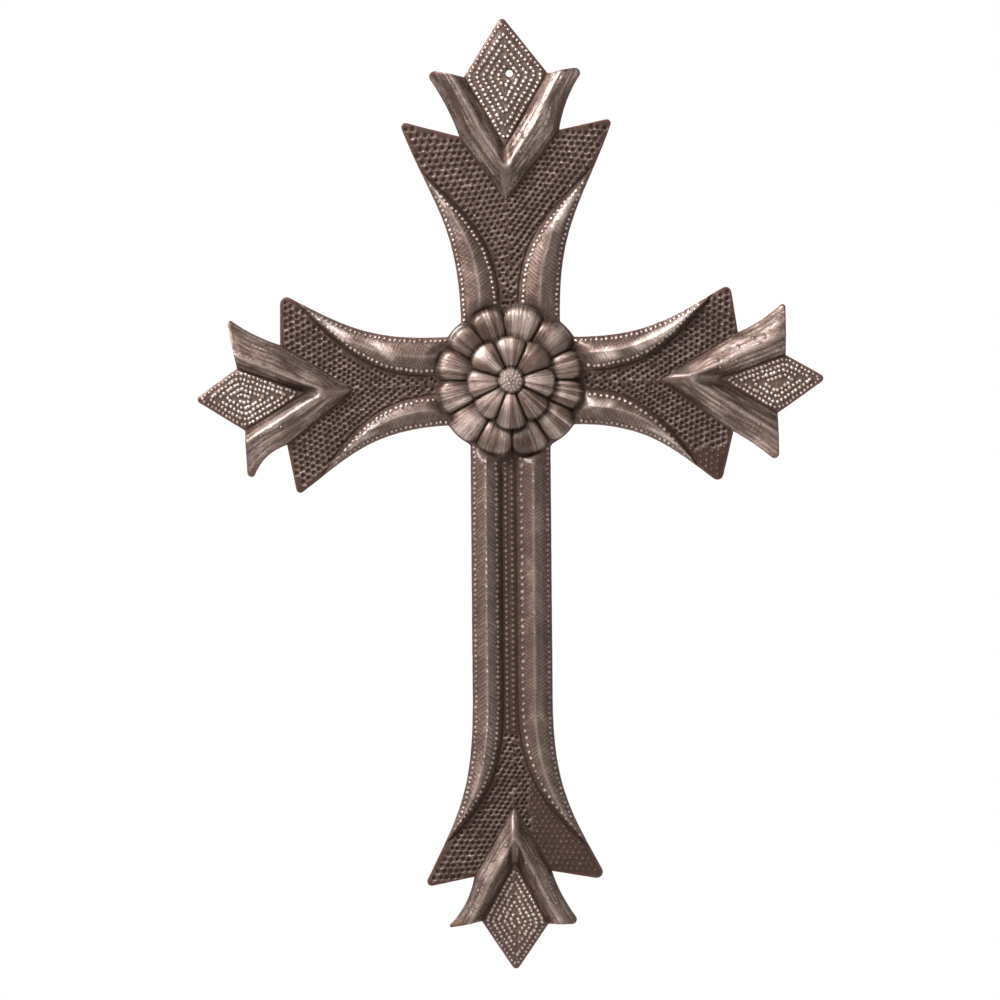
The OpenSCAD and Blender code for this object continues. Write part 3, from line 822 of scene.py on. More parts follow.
def fieldMarks(side):
    # pits in rows along the V band, and past a distance from it raised dots
    scale = side["pitScale"]
    reach = side["reach"]
    run = unit(side["notch"] - side["outerCorner"])
    toHub = np.array([-run[1], run[0]])
    rows = []
    for row in range(int(reach / marks["pitRowGap"])):
        stagger = (row % 2) * marks["pitPitch"] / 2
        along = (np.arange(-reach, reach, marks["pitPitch"]) + stagger) * scale
        along = along * (1 + marks["pitSpread"] * np.clip(along, 0, 60) / 60)
        gap = marks["pitRowStart"] + row * marks["pitRowGap"] * scale * (1 + marks["pitRowOpen"] * row)
        rows.append(side["outerCorner"] + along[:, None] * run + gap * toHub)
    at = np.vstack(rows)
    fromMiddle, fromLeaf, fromOutline = marks["pitMargins"]
    onArm = (at[:, 0] > max(marks["pitStart"], side["shaft"])) & (at[:, 0] < reach)
    at = at[(at[:, 1] > fromMiddle) & onArm]
    at = at[(at[:, 1] < leafLay(side, at)[0] - fromLeaf) & ~past(side, at)]
    points = placed(side, at)
    keep = away(outlineTree, points) > fromOutline
    raised = at[:, 1] > side["raisedFrom"]
    return points[keep & ~raised], points[keep & raised]


def channelDots(pair):
    # two staggered columns of raised dots down the shaft's channel
    first, second = pair
    middle = (first["channel"] - second["channel"]) / 2
    end = first["shaft"] + marks["channelOver"] if first["shaft"] else 0
    pitch, offset = marks["channelPitch"], marks["channelOffset"]
    along = np.arange(sheet["hubRadius"], end, pitch)
    columns = [
        np.column_stack([along + stagger, np.full(len(along), middle + aside)])
        for aside, stagger in ((-offset, 0), (offset, pitch / 2))
    ]
    return placed(first, np.vstack(columns))


def ridgeDots(side):
    # dots that come and go along the ridges of the shaft's leaves
    start, over = marks["ridgeRun"]
    row = walked(leafRidge(side), marks["ridgePitch"], start)
    row = row[(row[:, 0] < side["shaft"] + over) & (rng.uniform(size=len(row)) < side["ridgeDots"])]
    return placed(side, row)


def bandDots(side):
    # a few dots here and there on a V band
    along, over = marks["bandPlaces"]
    share = rng.uniform(*along, (side["bandDots"], 1))
    across = rng.uniform(*over, (side["bandDots"], 1))
    outer = walked(side["bandLine"], 0.5)
    outer = outer[(share[:, 0] * (len(outer) - 1)).astype(int)]
    inner = side["innerCorner"] + (side["shoulder"] - side["innerCorner"]) * share
    return placed(side, outer + (inner - outer) * across)


def lozengeBeads(pair):
    # closed rows of beads, one inside the other
    first, second = pair
    tip = np.array([first["reach"], 0.0])
    lower = second["shoulder"] * np.array([1, -1])
    corners = np.array([first["innerCorner"], lower, tip, first["shoulder"]])
    rows = []
    gap = marks["lozengeStart"]
    kite = insetKite(corners, gap)
    while kite is not None:
        line = softened(kite)
        length = lengthOf(np.roll(line, -1, axis=0) - line).sum()
        count = max(1, round(length / first["lozengePitch"]))
        rows.append(walked(np.vstack([line, line[:1]]), length / count, 0.6)[:count])
        gap += first["lozengeGap"]
        kite = insetKite(corners, gap)
    return placed(first, np.vstack(rows))


def spacedOut(groups, least):
    # keeps marks that are not too near earlier ones
    cells = {}
    kept = []
    for group in groups:
        mine = []
        for x, z in group:
            column, row = int(x // least), int(z // least)
            blocks = [cells.get((column + i, row + j), ()) for i in (-1, 0, 1) for j in (-1, 0, 1)]
            if all((x - a) ** 2 + (z - b) ** 2 >= least ** 2 for block in blocks for a, b in block):
                cells.setdefault((column, row), []).append((x, z))
                mine.append((x, z))
        kept.append(np.array(mine).reshape(-1, 2))
    return kept


def inFlower(points, margin):
    return lengthOf(points) < flowerRelief(points)["outerTip"] + margin


def offFlower(points, margin):
    return points[~inFlower(points, margin)]


def wandered(points):
    return points + rng.uniform(-1, 1, points.shape) * marks["wander"]


outline = sheetOutline()
outlineTree = treeOf(divided(outline, 0.4, closed=True))
print("outline", len(outline), "points")

beadMargin, pitMargin = marks["flowerMargins"]
beads = np.vstack([leafBeads(side) for side in allSides] + [lozengeBeads(pair) for pair in sides])
beads = offFlower(beads, beadMargin)
beads = beads[lengthOf(beads - hole) > sheet["holeMargin"]]
beads = beads[away(outlineTree, beads) > marks["beadMargin"]]
field = [fieldMarks(side) for side in allSides]
pits = offFlower(np.vstack([sunk for sunk, raised in field]), pitMargin)
dots = np.vstack([raised for sunk, raised in field] + [bandDots(side) for side in allSides])
dots = offFlower(dots, beadMargin)
shaftDots = np.vstack([channelDots(pair) for pair in sides] + [ridgeDots(side) for side in allSides])
shaftDots = offFlower(shaftDots, beadMargin)
pits = np.vstack([np.array(marks["punches"]), pits])
beads, shaftDots, pits, dots = spacedOut([beads, shaftDots, pits, dots], marks["least"])
beads = wandered(beads)
dots = wandered(dots)
pits = wandered(pits)
bossDots = np.array([
    (radius * math.cos(turn), radius * math.sin(turn))
    for radius, count in marks["bossRings"]
    for turn in np.arange(count) / count * 2 * math.pi + radius
])
edgeShare = np.where(away(outlineTree, beads) < marks["edgeRow"], marks["edgeBead"], 1)
beadSize = np.concatenate([
    marks["beadRadius"] * rng.uniform(*marks["beadSpread"], len(beads)) * edgeShare,
    marks["shaftDot"] * rng.uniform(*marks["shaftDotSpread"], len(shaftDots)),
    marks["dotRadius"] * rng.uniform(*marks["dotSpread"], len(dots)),
    np.full(len(bossDots), marks["bossBead"]),
])
sideShine = np.array([side["shine"] for side in allSides])
beadShine = np.concatenate([
    sideShine[sidesOf(beads)],
    np.full(len(shaftDots), marks["shaftDotShine"]),
    sideShine[sidesOf(dots)],
    np.ones(len(bossDots)),
])
beads = np.vstack([beads, shaftDots, dots, bossDots])
outward = 1 + marks["pitSpread"] * np.abs(pits).min(axis=1) / 50
pitSize = marks["pitRadius"] * rng.uniform(*marks["pitVary"], len(pits)) * outward
# how much each pit's rim is raised and painted bright on its lower right side
pitBurrAndHighlight = rng.uniform(*marks["burrAndHighlightSpread"], len(pits))
print(len(beads), "beads and", len(pits), "pits")
beadTree, pitTree = treeOf(beads), treeOf(pits)


def nearest(tree, sizes, points):
    # the nearest mark to each point, and how far off it is as a share of the mark's radius
    found = [tree.find((x, z, 0)) for x, z in points]
    index = np.array([f[1] for f in found])
    return index, np.array([f[2] for f in found]) / sizes[index]


def addBeads(result, points):
    index, d = nearest(beadTree, beadSize, points)
    size = beadSize[index] / marks["beadRadius"]
    top = clipped(1 - d ** 2)
    result["height"] += marks["beadHeight"] * size * top ** marks["beadRound"]
    # wear and painted highlight on the bead's top
    bright = top ** marks["beadBright"] * clipped(size) * beadShine[index]
    result["crown"] = np.where(d < 1, np.maximum(result["crown"], bright), result["crown"])
    place, width, dark = marks["beadFootShade"]
    ringShade = dark * hump(d - place, width)
    result["cavityShade"] = np.where(d < 0.8, 0, np.maximum(result["cavityShade"], ringShade))


def addPits(result, points):
    index, d = nearest(pitTree, pitSize, points)
    bowl = clipped(1 - d ** marks["pitFlat"])
    rimPlace, rimWidth = marks["pitRimPlace"]
    linePlace, lineWidth = marks["pitLinePlace"]
    offset = (points - pits[index]) / pitSize[index][:, None]
    # a higher rim and a painted highlight on each pit's lower right side
    burrAndHighlight = pitBurrAndHighlight[index] * clipped(offset @ unit(np.array(marks["burrAndHighlightSide"]))) ** 2
    line = hump(d - linePlace, lineWidth)
    plain, more = marks["pitRimHighlight"]
    result["height"] -= marks["pitDepth"] * bowl
    result["height"] += marks["pitRim"] * (1 + burrAndHighlight) * hump(d - rimPlace, rimWidth)
    # painted shade in the pit's bowl
    result["cavityShade"] = np.maximum(result["cavityShade"], bowl ** marks["pitDark"])
    result["crown"] = np.maximum(result["crown"], (plain + more * burrAndHighlight) * line)
    result["patinaAndShade"] = result["patinaAndShade"] * (1 - marks["highlightLift"] * burrAndHighlight * line)


def finished(points):
    # the whole relief with its beads and pits, and the finish that goes with them
    result = reliefOf(points)
    addBeads(result, points)
    addPits(result, points)
    edgeAway = away(outlineTree, points)
    fromFlower = ease(lengthOf(points), *relief["panelStart"])
    result["height"] += relief["panelRise"] * ease(edgeAway, *relief["panelRun"]) * fromFlower
    result["rim"] = hump(edgeAway, sheet["rimWidth"])
    return result


# Distances between mesh points, and from other things.
meshing = {
    "inset": 0.1,
    "holeLip": 0.35,           # ring of mesh points round the hole
    "holeClear": (0.6, 0.8),   # points and lines keep this far from the hole
    "holeFaces": 0.98,
    "flowerClear": 0.7,
    "outerRing": 0.5,          # ring of points past the outer petals
    "strokeShares": (0.03, 0.98),
    # share of the mark's radius, number of points and turn
    "beadRings": ((0.55, 5, 0.3), (1.0, 7, 0)),
    "pitRings": ((0.78, 6, 0.3), (1.08, 7, 0)),
    "backBeadRing": (1.05, 5, 0),
    "backPitRing": (1.02, 5, 0),
    "background": 1.05,
    "backgroundLeast": 0.62,
    "jitter": 0.12,
    "least": 0.42,
    "ringLeast": 0.3,
    "stroke": 1.2,
    "strokeReach": 16,
    "streak": 1.9,
    "crease": 1.4,
    "ridge": 1.5,
    "bandCrease": 3.0,
    "margin": 0.2,
    "back": 2.2,
    "backLeast": (0.8, 0.5, 1.1),
    "backCrease": 2.4,
    "backMargin": 0.5,
}


def ringOf(centres, sizes, share, count, turn):
    # mesh points in a ring round each mark
    ring = spokes(1, np.arange(count) / count * 2 * math.pi + turn)
    return (centres[:, None, :] + (sizes * share)[:, None, None] * ring[None]).reshape(-1, 2)


def markPoints():
    # mesh points that carry the beads and the pits
    rings = [ringOf(beads, beadSize, *ring) for ring in meshing["beadRings"]]
    rings += [ringOf(pits, pitSize, *ring) for ring in meshing["pitRings"]]
    return np.vstack([beads, pits, *rings])


def flowerPoints():
    # rings of mesh points on every petal, in columns along its engraved lines
    rings = []
    for ring in ("inner", "outer"):
        centres = np.array(petals[ring]["directions"], dtype=float)
        ahead = (np.roll(centres, -1) - centres) % 360 / 2
        behind = (centres - np.roll(centres, 1)) % 360 / 2
        for i, centre in enumerate(centres):
            half = np.where(columnPlaces < 0, behind[i], ahead[i])
            angle = centre + columnPlaces[:-1] * half[:-1]
            tip = petalTip(i, columnPlaces[:-1], ring)
            base = np.full(len(angle), flower["bossRadius"])
            if ring == "outer":
                base = petalTip(*petalLay(angle, petals["inner"]["directions"]), "inner")
            radii = [base + (tip - base) * share for share in petals[ring]["meshRings"]]
            if ring == "outer":
                radii.append(tip + meshing["outerRing"])
            rings += [spokes(radius, np.radians(angle)) for radius in radii]
    return np.vstack(rings)


def strokePoints(side):
    # points along the ridges and grooves of the chisel strokes
    pitch = side["strokePitch"]
    start, end = side["vein"][0][0], side["vein"][-1][0]
    strokes = (np.arange(math.floor(start / pitch * 2), math.ceil(end / pitch * 2)) / 2) * pitch
    step = meshing["stroke"]
    steps = np.concatenate([
        np.arange(0, meshing["strokeReach"], step), -np.arange(step, meshing["strokeReach"], step),
    ])
    along, off = np.meshgrid(strokes, steps)
    along = (along + relief["strokeLean"] * np.abs(off)).ravel()
    off = off.ravel()
    inner, width = leafLay(side, np.column_stack([along, along]))
    at = np.column_stack([along, inner + side["ridgeShare"] * width + off])
    share = (at[:, 1] - inner) / width
    low, high = meshing["strokeShares"]
    at = at[(share > low) & (share < high) & (along > start - 2) & (along < end)]
    return placed(side, at[~past(side, at)])


def acrossBand(side, step):
    # points along a V band's outer edge, and the nearest ones on its inner edge
    outer = walked(side["bandLine"], step)
    whole = side["shoulder"] - side["innerCorner"]
    share = clipped((outer - side["innerCorner"]) @ whole / (whole @ whole))
    return outer, side["innerCorner"] + share[:, None] * whole


def bandPoints(side):
    # points along the lengthwise streaks of a V band
    outer, inner = acrossBand(side, meshing["streak"])
    lines = [outer + (inner - outer) * (k / relief["streakLines"]) for k in range(1, relief["streakLines"])]
    return placed(side, np.vstack(lines))


def creaseLines(side):
    # lines that the mesh keeps as edges: scribed lines and the two ridges
    step = meshing["crease"]

    def scribed(line):
        line = divided(line, step)
        return [line, shifted(line, relief["grooveWidth"]), shifted(line, -relief["grooveWidth"])]

    outer, inner = acrossBand(side, meshing["bandCrease"])
    lines = [
        *scribed(walked(side["vein"], step)),
        walked(leafRidge(side), meshing["ridge"]),
        *scribed(side["bandLine"][:2]),
        *scribed(np.array([side["innerCorner"], side["shoulder"]])),
        walked(outer + (inner - outer) * side["bandRidge"], meshing["ridge"]),
    ]
    return [placed(side, line[line[:, 1] > -0.01]) for line in lines if len(line) > 2]


def hexPoints(step):
    # an even field of points, slightly shaken
    low, high = outline.min(0), outline.max(0)
    rows = []
    for i, z in enumerate(np.arange(low[1], high[1], step * 0.866)):
        xs = np.arange(low[0] + (i % 2) * step / 2, high[0], step)
        rows.append(np.column_stack([xs, np.full(len(xs), z)]))
    points = np.vstack(rows)
    return points + rng.uniform(-meshing["jitter"], meshing["jitter"], points.shape) * step


def insideOutline(points):
    inside = np.zeros(len(points), dtype=bool)
    for (ax, az), (bx, bz) in zip(outline, np.roll(outline, -1, axis=0)):
        if az != bz:
            crosses = (az > points[:, 1]) != (bz > points[:, 1])
            at = ax + (points[:, 1] - az) * (bx - ax) / (bz - az)
            inside ^= crosses & (points[:, 0] < at)
    return inside


holeTurn = np.linspace(0, 2 * math.pi, 28, endpoint=False)
holeLoop = hole + spokes(sheet["holeRadius"], holeTurn)
holeLip = hole + spokes(sheet["holeRadius"] + meshing["holeLip"], holeTurn)


def fits(points, tree, least, margin):
    # those points that lie on the sheet and not too near others
    clear = sheet["holeRadius"] + meshing["holeClear"][0]
    keep = (away(tree, points) > least) & (lengthOf(points - hole) > clear)
    points = points[keep]
    points = points[away(outlineTree, points) > margin]
    return points[insideOutline(points)]


def triangulated(lines, groups, margin):
    # a mesh of the sheet's plane through every point, with the outline, the hole and lines kept as edges
    loops = (outline, holeLoop)
    starts = (0, len(outline))
    points = [np.vstack(loops)]
    edges = []
    for start, loop in zip(starts, loops):
        edges += [(start + i, start + (i + 1) % len(loop)) for i in range(len(loop))]
    count = len(points[0])
    for line in lines:
        inside = (away(outlineTree, line) > margin) & insideOutline(line)
        inside &= ~inFlower(line, meshing["flowerClear"])
        inside &= lengthOf(line - hole) > sheet["holeRadius"] + meshing["holeClear"][1]
        points.append(line[inside])
        number = np.cumsum(inside) - 1
        edges += [
            (count + number[i], count + number[i + 1])
            for i in range(len(line) - 1)
            if inside[i] and inside[i + 1]
        ]
        count += inside.sum()
    for group, least in groups:
        tree = treeOf(np.vstack(points))
        points.append(fits(group, tree, least, margin))
    points = np.vstack(points)
    made = delaunay_2d_cdt([Vector(p) for p in points.tolist()], edges, [], 1, 1e-5)
    verts = np.array([tuple(v) for v in made[0]])
    faces = np.array(made[2], dtype=int)
    middles = verts[faces].mean(axis=1)
    faces = faces[lengthOf(middles - hole) > sheet["holeRadius"] * meshing["holeFaces"]]
    area = cross(verts[faces[:, 1]] - verts[faces[:, 0]], verts[faces[:, 2]] - verts[faces[:, 0]])
    faces = np.where((area > 0)[:, None], faces, faces[:, ::-1])
    newIndex = {old: i for i, olds in enumerate(made[3]) for old in olds}
    loopIndex = [[newIndex[start + i] for i in range(len(loop))] for start, loop in zip(starts, loops)]
    return verts, faces, loopIndex


def frontMesh():
    inset = outline + inwardNormals(outline) * sheet["edgeRound"]
    creases = [line for side in allSides for line in creaseLines(side)]
    strokes = np.vstack([strokePoints(side) for side in allSides])
    streaks = np.vstack([bandPoints(side) for side in allSides])
    return triangulated(creases, [
        (np.vstack([inset, holeLip]), meshing["inset"]),
        (flowerPoints(), meshing["ringLeast"]),
        (markPoints(), meshing["ringLeast"]),
        (strokes, meshing["least"]),
        (streaks, meshing["least"]),
        (hexPoints(meshing["background"]), meshing["backgroundLeast"]),
    ], meshing["margin"])


def backMesh():
    beadRings = ringOf(beads, beadSize, *meshing["backBeadRing"])
    pitRings = ringOf(pits, pitSize, *meshing["backPitRing"])
    marked = np.vstack([beads, pits, beadRings, pitRings])
    creases = [placed(side, walked(side["vein"], meshing["backCrease"])) for side in allSides]
    groups = (flowerPoints()[::3], marked, hexPoints(meshing["back"]))
    return triangulated(creases, list(zip(groups, meshing["backLeast"])), meshing["backMargin"])


def linked(name, data):
    # a new object in the scene
    thing = bpy.data.objects.new(name, data)
    bpy.context.scene.collection.objects.link(thing)
    return thing


def fromHole(verts, height):
    # corners as (right, into the wall, up) from the hole's middle, in millimetres
    return np.column_stack([verts[:, 0] - hole[0], -height, verts[:, 1] - hole[1]])


def fillMesh(mesh, coordinates, faces):
    mesh.vertices.add(len(coordinates))
    mesh.vertices.foreach_set("co", coordinates.astype(np.float32).ravel())
    mesh.loops.add(faces.size)
    mesh.loops.foreach_set("vertex_index", faces.astype(np.int32).ravel())
    mesh.polygons.add(len(faces))
    mesh.polygons.foreach_set("loop_start", np.arange(0, faces.size, 3, dtype=np.int32))
    mesh.update(calc_edges=True)
    mesh.validate()
    mesh.polygons.foreach_set("use_smooth", np.ones(len(mesh.polygons), dtype=bool))
    mesh.set_sharp_from_angle(angle=math.radians(sheet["sharpAngle"]))


def buildCross():
    frontVerts, frontFaces, frontLoops = frontMesh()
    print("front", len(frontVerts), "points,", len(frontFaces), "triangles")
    backVerts, backFaces, backLoops = backMesh()
    print("back", len(backVerts), "points,", len(backFaces), "triangles")

    front = finished(frontVerts)
    back = finished(backVerts)
    lowered = np.zeros(len(frontVerts))
    for loop in frontLoops:
        lowered[loop] = sheet["edgeRound"]
    frontHeight = np.maximum(front["height"], sheet["pitFloor"]) - lowered + sheet["thickness"]
    backHeight = np.maximum(sheet["backShare"] * back["height"], 0)
    coordinates = np.vstack([fromHole(frontVerts, frontHeight), fromHole(backVerts, backHeight)]) * mm
    offset = len(frontVerts)
    faces = [frontFaces, backFaces[:, ::-1] + offset]
    for n, (frontLoop, backLoop) in enumerate(zip(frontLoops, backLoops)):
        a, b = np.array(frontLoop), np.roll(frontLoop, -1)
        c, d = np.array(backLoop) + offset, np.roll(backLoop, -1) + offset
        if n == 1:  # the hole's wall faces inwards
            a, b, c, d = b, a, d, c
        faces += [np.column_stack([a, c, d]), np.column_stack([a, d, b])]
    faces = np.vstack(faces)

    mesh = bpy.data.meshes.new("hammeredCross")
    fillMesh(mesh, coordinates, faces)
    # cavityShade is painted shade in the recesses, crown is wear with painted highlights, patinaAndShade is
    # patina with painted shade along the leaves' inner edges, rim is the rusty edge
    for name in ("cavityShade", "crown", "patinaAndShade", "rim"):
        layer = mesh.attributes.new(name, "FLOAT", "POINT")
        values = clipped(np.concatenate([front[name], back[name]]))
        layer.data.foreach_set("value", values.astype(np.float32))
    layer = mesh.attributes.new("grain", "FLOAT_VECTOR", "POINT")
    grain = np.vstack([front["grain"], back["grain"]])
    grain = np.column_stack([grain, np.zeros(len(grain))])
    layer.data.foreach_set("vector", grain.astype(np.float32).ravel())
    materialIndex = np.zeros(len(faces), dtype=np.int32)
    materialIndex[len(frontFaces):len(frontFaces) + len(backFaces)] = 1
    mesh.polygons.foreach_set("material_index", materialIndex)
    print("cross mesh", len(coordinates), "points,", len(faces), "triangles")
    return linked("hammeredCross", mesh)


def newGroup(name, inputs, outputs):
    # a node group; an input takes a colour where its value is one, and a number otherwise
    group = bpy.data.node_groups.new(name, "ShaderNodeTree")
    for label, value in inputs.items():
        kind = "NodeSocketColor" if isinstance(value, tuple) else "NodeSocketFloat"
        group.interface.new_socket(label, in_out="INPUT", socket_type=kind).default_value = value
    for label, kind in outputs.items():
        group.interface.new_socket(label, in_out="OUTPUT", socket_type=kind)
    return group, group.nodes.new("NodeGroupInput").outputs, group.nodes.new("NodeGroupOutput").inputs


def addNode(tree, kind, settings=None, **links):
    # a node with its settings, and its inputs linked or set by name, or by number as i0
    node = tree.nodes.new(kind)
    for key, value in (settings or {}).items():
        setattr(node, key, value)
    for key, value in links.items():
        name = int(key[1:]) if key[0] == "i" and key[1:].isdigit() else key.replace("_", " ")
        socket = node.inputs[name]
        if isinstance(value, bpy.types.NodeSocket):
            tree.links.new(value, socket)
        else:
            socket.default_value = value
    return node


def mathNode(tree, operation, *values, clamp=False):
    inputs = {f"i{n}": value for n, value in enumerate(values)}
    settings = {"operation": operation, "use_clamp": clamp}
    return addNode(tree, "ShaderNodeMath", settings, **inputs).outputs[0]


def mixColor(tree, factor, a, b, blend="MIX"):
    settings = {"data_type": "RGBA", "blend_type": blend}
    return addNode(tree, "ShaderNodeMix", settings, i0=factor, i6=a, i7=b).outputs[2]


def mottleGroup():
    # uneven patches, as patina and dust leave
    group, given, made = newGroup(
        "mottle", {"Size": 60.0, "Detail": 6.0, "Contrast": 2.0}, {"Mask": "NodeSocketFloat"},
    )
    place = addNode(group, "ShaderNodeTexCoord").outputs["Object"]
    patches = addNode(
        group, "ShaderNodeTexNoise",
        Vector=place, Scale=given["Size"], Detail=given["Detail"], Roughness=0.62,
    )
    centred = mathNode(group, "SUBTRACT", patches.outputs["Fac"], 0.5)
    spread = mathNode(group, "MULTIPLY", centred, given["Contrast"])
    group.links.new(mathNode(group, "ADD", spread, 0.5, clamp=True), made["Mask"])
    return group


def hairlineGroup():
    # fine lines that follow the chisel's and the file's direction
    group, given, made = newGroup("hairlines", {"Along": 0.25, "Across": 2.4}, {"Lines": "NodeSocketFloat"})
    lay = addNode(group, "ShaderNodeAttribute", {"attribute_name": "grain"})
    parts = addNode(group, "ShaderNodeSeparateXYZ", Vector=lay.outputs["Vector"]).outputs
    along = mathNode(group, "MULTIPLY", parts["X"], given["Along"])
    across = mathNode(group, "MULTIPLY", parts["Y"], given["Across"])
    stretched = addNode(group, "ShaderNodeCombineXYZ", X=along, Y=across).outputs[0]
    lines = addNode(group, "ShaderNodeTexNoise", Vector=stretched, Scale=1.0, Detail=3.0, Roughness=0.6)
    clear = addNode(group, "ShaderNodeMapRange", Value=lines.outputs["Fac"], From_Min=0.32, From_Max=0.68)
    group.links.new(clear.outputs["Result"], made["Lines"])
    return group


patinaShares = {
    "mottleShade": (0.45, 0.55),   # how much the mottle and the lines shade the body, and the plain rest
    "lineShade": (0.95, 0.55),
    "mottleRub": 0.35,
    "lineRub": 0.5,
    "patinaAndShadeDark": 0.72,
    "edge": 0.75,
}


def patinaGroup():
    # steel bright where it is rubbed and where highlights are painted, brown in the mass, and near black
    # where shade is painted in the recesses or patina lies
    group, given, made = newGroup(
        "patinaAndShade",
        {
            "Bright": (0.5, 0.46, 0.42, 1),
            "Body": (0.2, 0.16, 0.13, 1),
            "Recess": (0.03, 0.02, 0.015, 1),
            "Edge": (0.18, 0.07, 0.05, 1),
            "Wear": 0.6,
            "Depth": 1.0,
            "Mottle": 0.5,
            "Lines": 0.5,
        },
        {"Color": "NodeSocketColor", "RubbedAndSheen": "NodeSocketFloat", "Dark": "NodeSocketFloat"},
    )

    def layer(name):
        return addNode(group, "ShaderNodeAttribute", {"attribute_name": name}).outputs["Fac"]

    shade = mathNode(group, "MULTIPLY_ADD", given["Mottle"], *patinaShares["mottleShade"])
    # crown: wear and painted highlight, broken up by the mottle and the lines
    rubbedAndSheen = mathNode(group, "MULTIPLY", layer("crown"), given["Wear"])
    mottled = mathNode(group, "ADD", given["Mottle"], patinaShares["mottleRub"])
    rubbedAndSheen = mathNode(group, "MULTIPLY", rubbedAndSheen, mottled)
    lined = mathNode(group, "ADD", given["Lines"], patinaShares["lineRub"])
    rubbedAndSheen = mathNode(group, "MULTIPLY", rubbedAndSheen, lined, clamp=True)
    lined = mathNode(group, "MULTIPLY", given["Lines"], patinaShares["lineShade"][0])
    lined = mathNode(group, "ADD", lined, patinaShares["lineShade"][1])
    shade = mathNode(group, "MULTIPLY", shade, lined)
    # painted shade in the recesses, and patina with painted shade along the leaves' inner edges
    cavityShade = layer("cavityShade")
    stainedAndShaded = mathNode(group, "MULTIPLY", layer("patinaAndShade"), patinaShares["patinaAndShadeDark"])
    dark = mathNode(group, "MAXIMUM", cavityShade, stainedAndShaded)
    dark = mathNode(group, "MULTIPLY", dark, given["Depth"], clamp=True)
    color = mixColor(group, 1.0, given["Body"], shade, "MULTIPLY")
    color = mixColor(group, rubbedAndSheen, color, given["Bright"])
    color = mixColor(group, dark, color, given["Recess"])
    edge = mathNode(group, "MULTIPLY", layer("rim"), patinaShares["edge"])
    color = mixColor(group, edge, color, given["Edge"])
    for socket, value in zip(("Color", "RubbedAndSheen", "Dark"), (color, rubbedAndSheen, dark)):
        group.links.new(value, made[socket])
    return group


steelFinish = {
    # bright: rubbed steel and painted highlights; recess: painted shade in the recesses, and dark patina
    "bright": (0.58, 0.46, 0.412, 1),
    "body": (0.071, 0.0435, 0.034, 1),
    "recess": (0.022, 0.0095, 0.006, 1),
    "edge": (0.09, 0.036, 0.026, 1),
    "wear": 0.85,
    "roughRubbed": 0.26,
    "roughBody": 0.42,
    "bumpHeight": 0.00017,
}

backFinish = {
    # bright: rubbed steel and painted highlights; recess: painted shade in the recesses, and dark patina
    "bright": (0.3, 0.26, 0.23, 1),
    "body": (0.15, 0.115, 0.095, 1),
    "recess": (0.05, 0.03, 0.022, 1),
    "edge": (0.13, 0.055, 0.035, 1),
    "wear": 0.35,
    "roughRubbed": 0.38,
    "roughBody": 0.55,
    "bumpHeight": 0.00015,
}

# What the front and the back share.
surface = {
    "mottleSize": 55.0,
    "mottleContrast": 2.2,
    "speckSize": 700.0,
    "speckContrast": 1.6,
    "speckRough": 0.12,
    "darkRough": 0.3,
    "darkMetal": 0.25,         # the darkened parts, painted shade in the recesses and patina, are less metallic
    "varnish": 0.25,
    "varnishRough": 0.22,
    "specular": 0.2,
    "speckBump": 0.5,
    "bumpStrength": 0.7,
}


def steelMaterial(name, finish, groups):
    material = bpy.data.materials.new(name)
    material.use_nodes = True
    tree = material.node_tree
    shader = tree.nodes["Principled BSDF"]

    def placeGroup(group, **values):
        return addNode(tree, "ShaderNodeGroup", {"node_tree": groups[group]}, **values).outputs

    mottle = placeGroup("mottle", Size=surface["mottleSize"], Contrast=surface["mottleContrast"])["Mask"]
    speck = placeGroup("mottle", Size=surface["speckSize"], Contrast=surface["speckContrast"])["Mask"]
    lines = placeGroup("hairlines")["Lines"]
    patinaAndShade = placeGroup(
        "patinaAndShade", Bright=finish["bright"], Body=finish["body"], Recess=finish["recess"],
        Edge=finish["edge"], Wear=finish["wear"], Mottle=mottle, Lines=lines,
    )
    rough = addNode(
        tree, "ShaderNodeMapRange",
        Value=patinaAndShade["RubbedAndSheen"], To_Min=finish["roughBody"], To_Max=finish["roughRubbed"],
    )
    uneven = mathNode(tree, "MULTIPLY", speck, surface["speckRough"])
    darkRough = mathNode(tree, "MULTIPLY", patinaAndShade["Dark"], surface["darkRough"])
    uneven = mathNode(tree, "ADD", uneven, darkRough)
    rough = mathNode(tree, "ADD", rough.outputs["Result"], uneven)
    metal = addNode(
        tree, "ShaderNodeMapRange", Value=patinaAndShade["Dark"], To_Min=1.0, To_Max=surface["darkMetal"],
    )
    notDark = mathNode(tree, "SUBTRACT", 1.0, patinaAndShade["Dark"], clamp=True)
    varnish = mathNode(tree, "MULTIPLY", notDark, surface["varnish"])
    grain = mathNode(tree, "MULTIPLY", speck, surface["speckBump"])
    grain = mathNode(tree, "ADD", lines, grain)
    bump = addNode(
        tree, "ShaderNodeBump",
        Height=grain, Distance=finish["bumpHeight"], Strength=surface["bumpStrength"],
    )
    for socket, value in (
        ("Base Color", patinaAndShade["Color"]),
        ("Roughness", rough),
        ("Metallic", metal.outputs["Result"]),
        ("Coat Weight", varnish),
        ("Normal", bump.outputs["Normal"]),
    ):
        tree.links.new(value, shader.inputs[socket])
    shader.inputs["Coat Roughness"].default_value = surface["varnishRough"]
    shader.inputs["Specular IOR Level"].default_value = surface["specular"]
    return material


groups = {"mottle": mottleGroup(), "hairlines": hairlineGroup(), "patinaAndShade": patinaGroup()}
piece = buildCross()
piece.data.materials.append(steelMaterial("hammeredSteel", steelFinish, groups))
piece.data.materials.append(steelMaterial("backSteel", backFinish, groups))
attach(piece, "root")
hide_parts("cross")
print("steel finished")

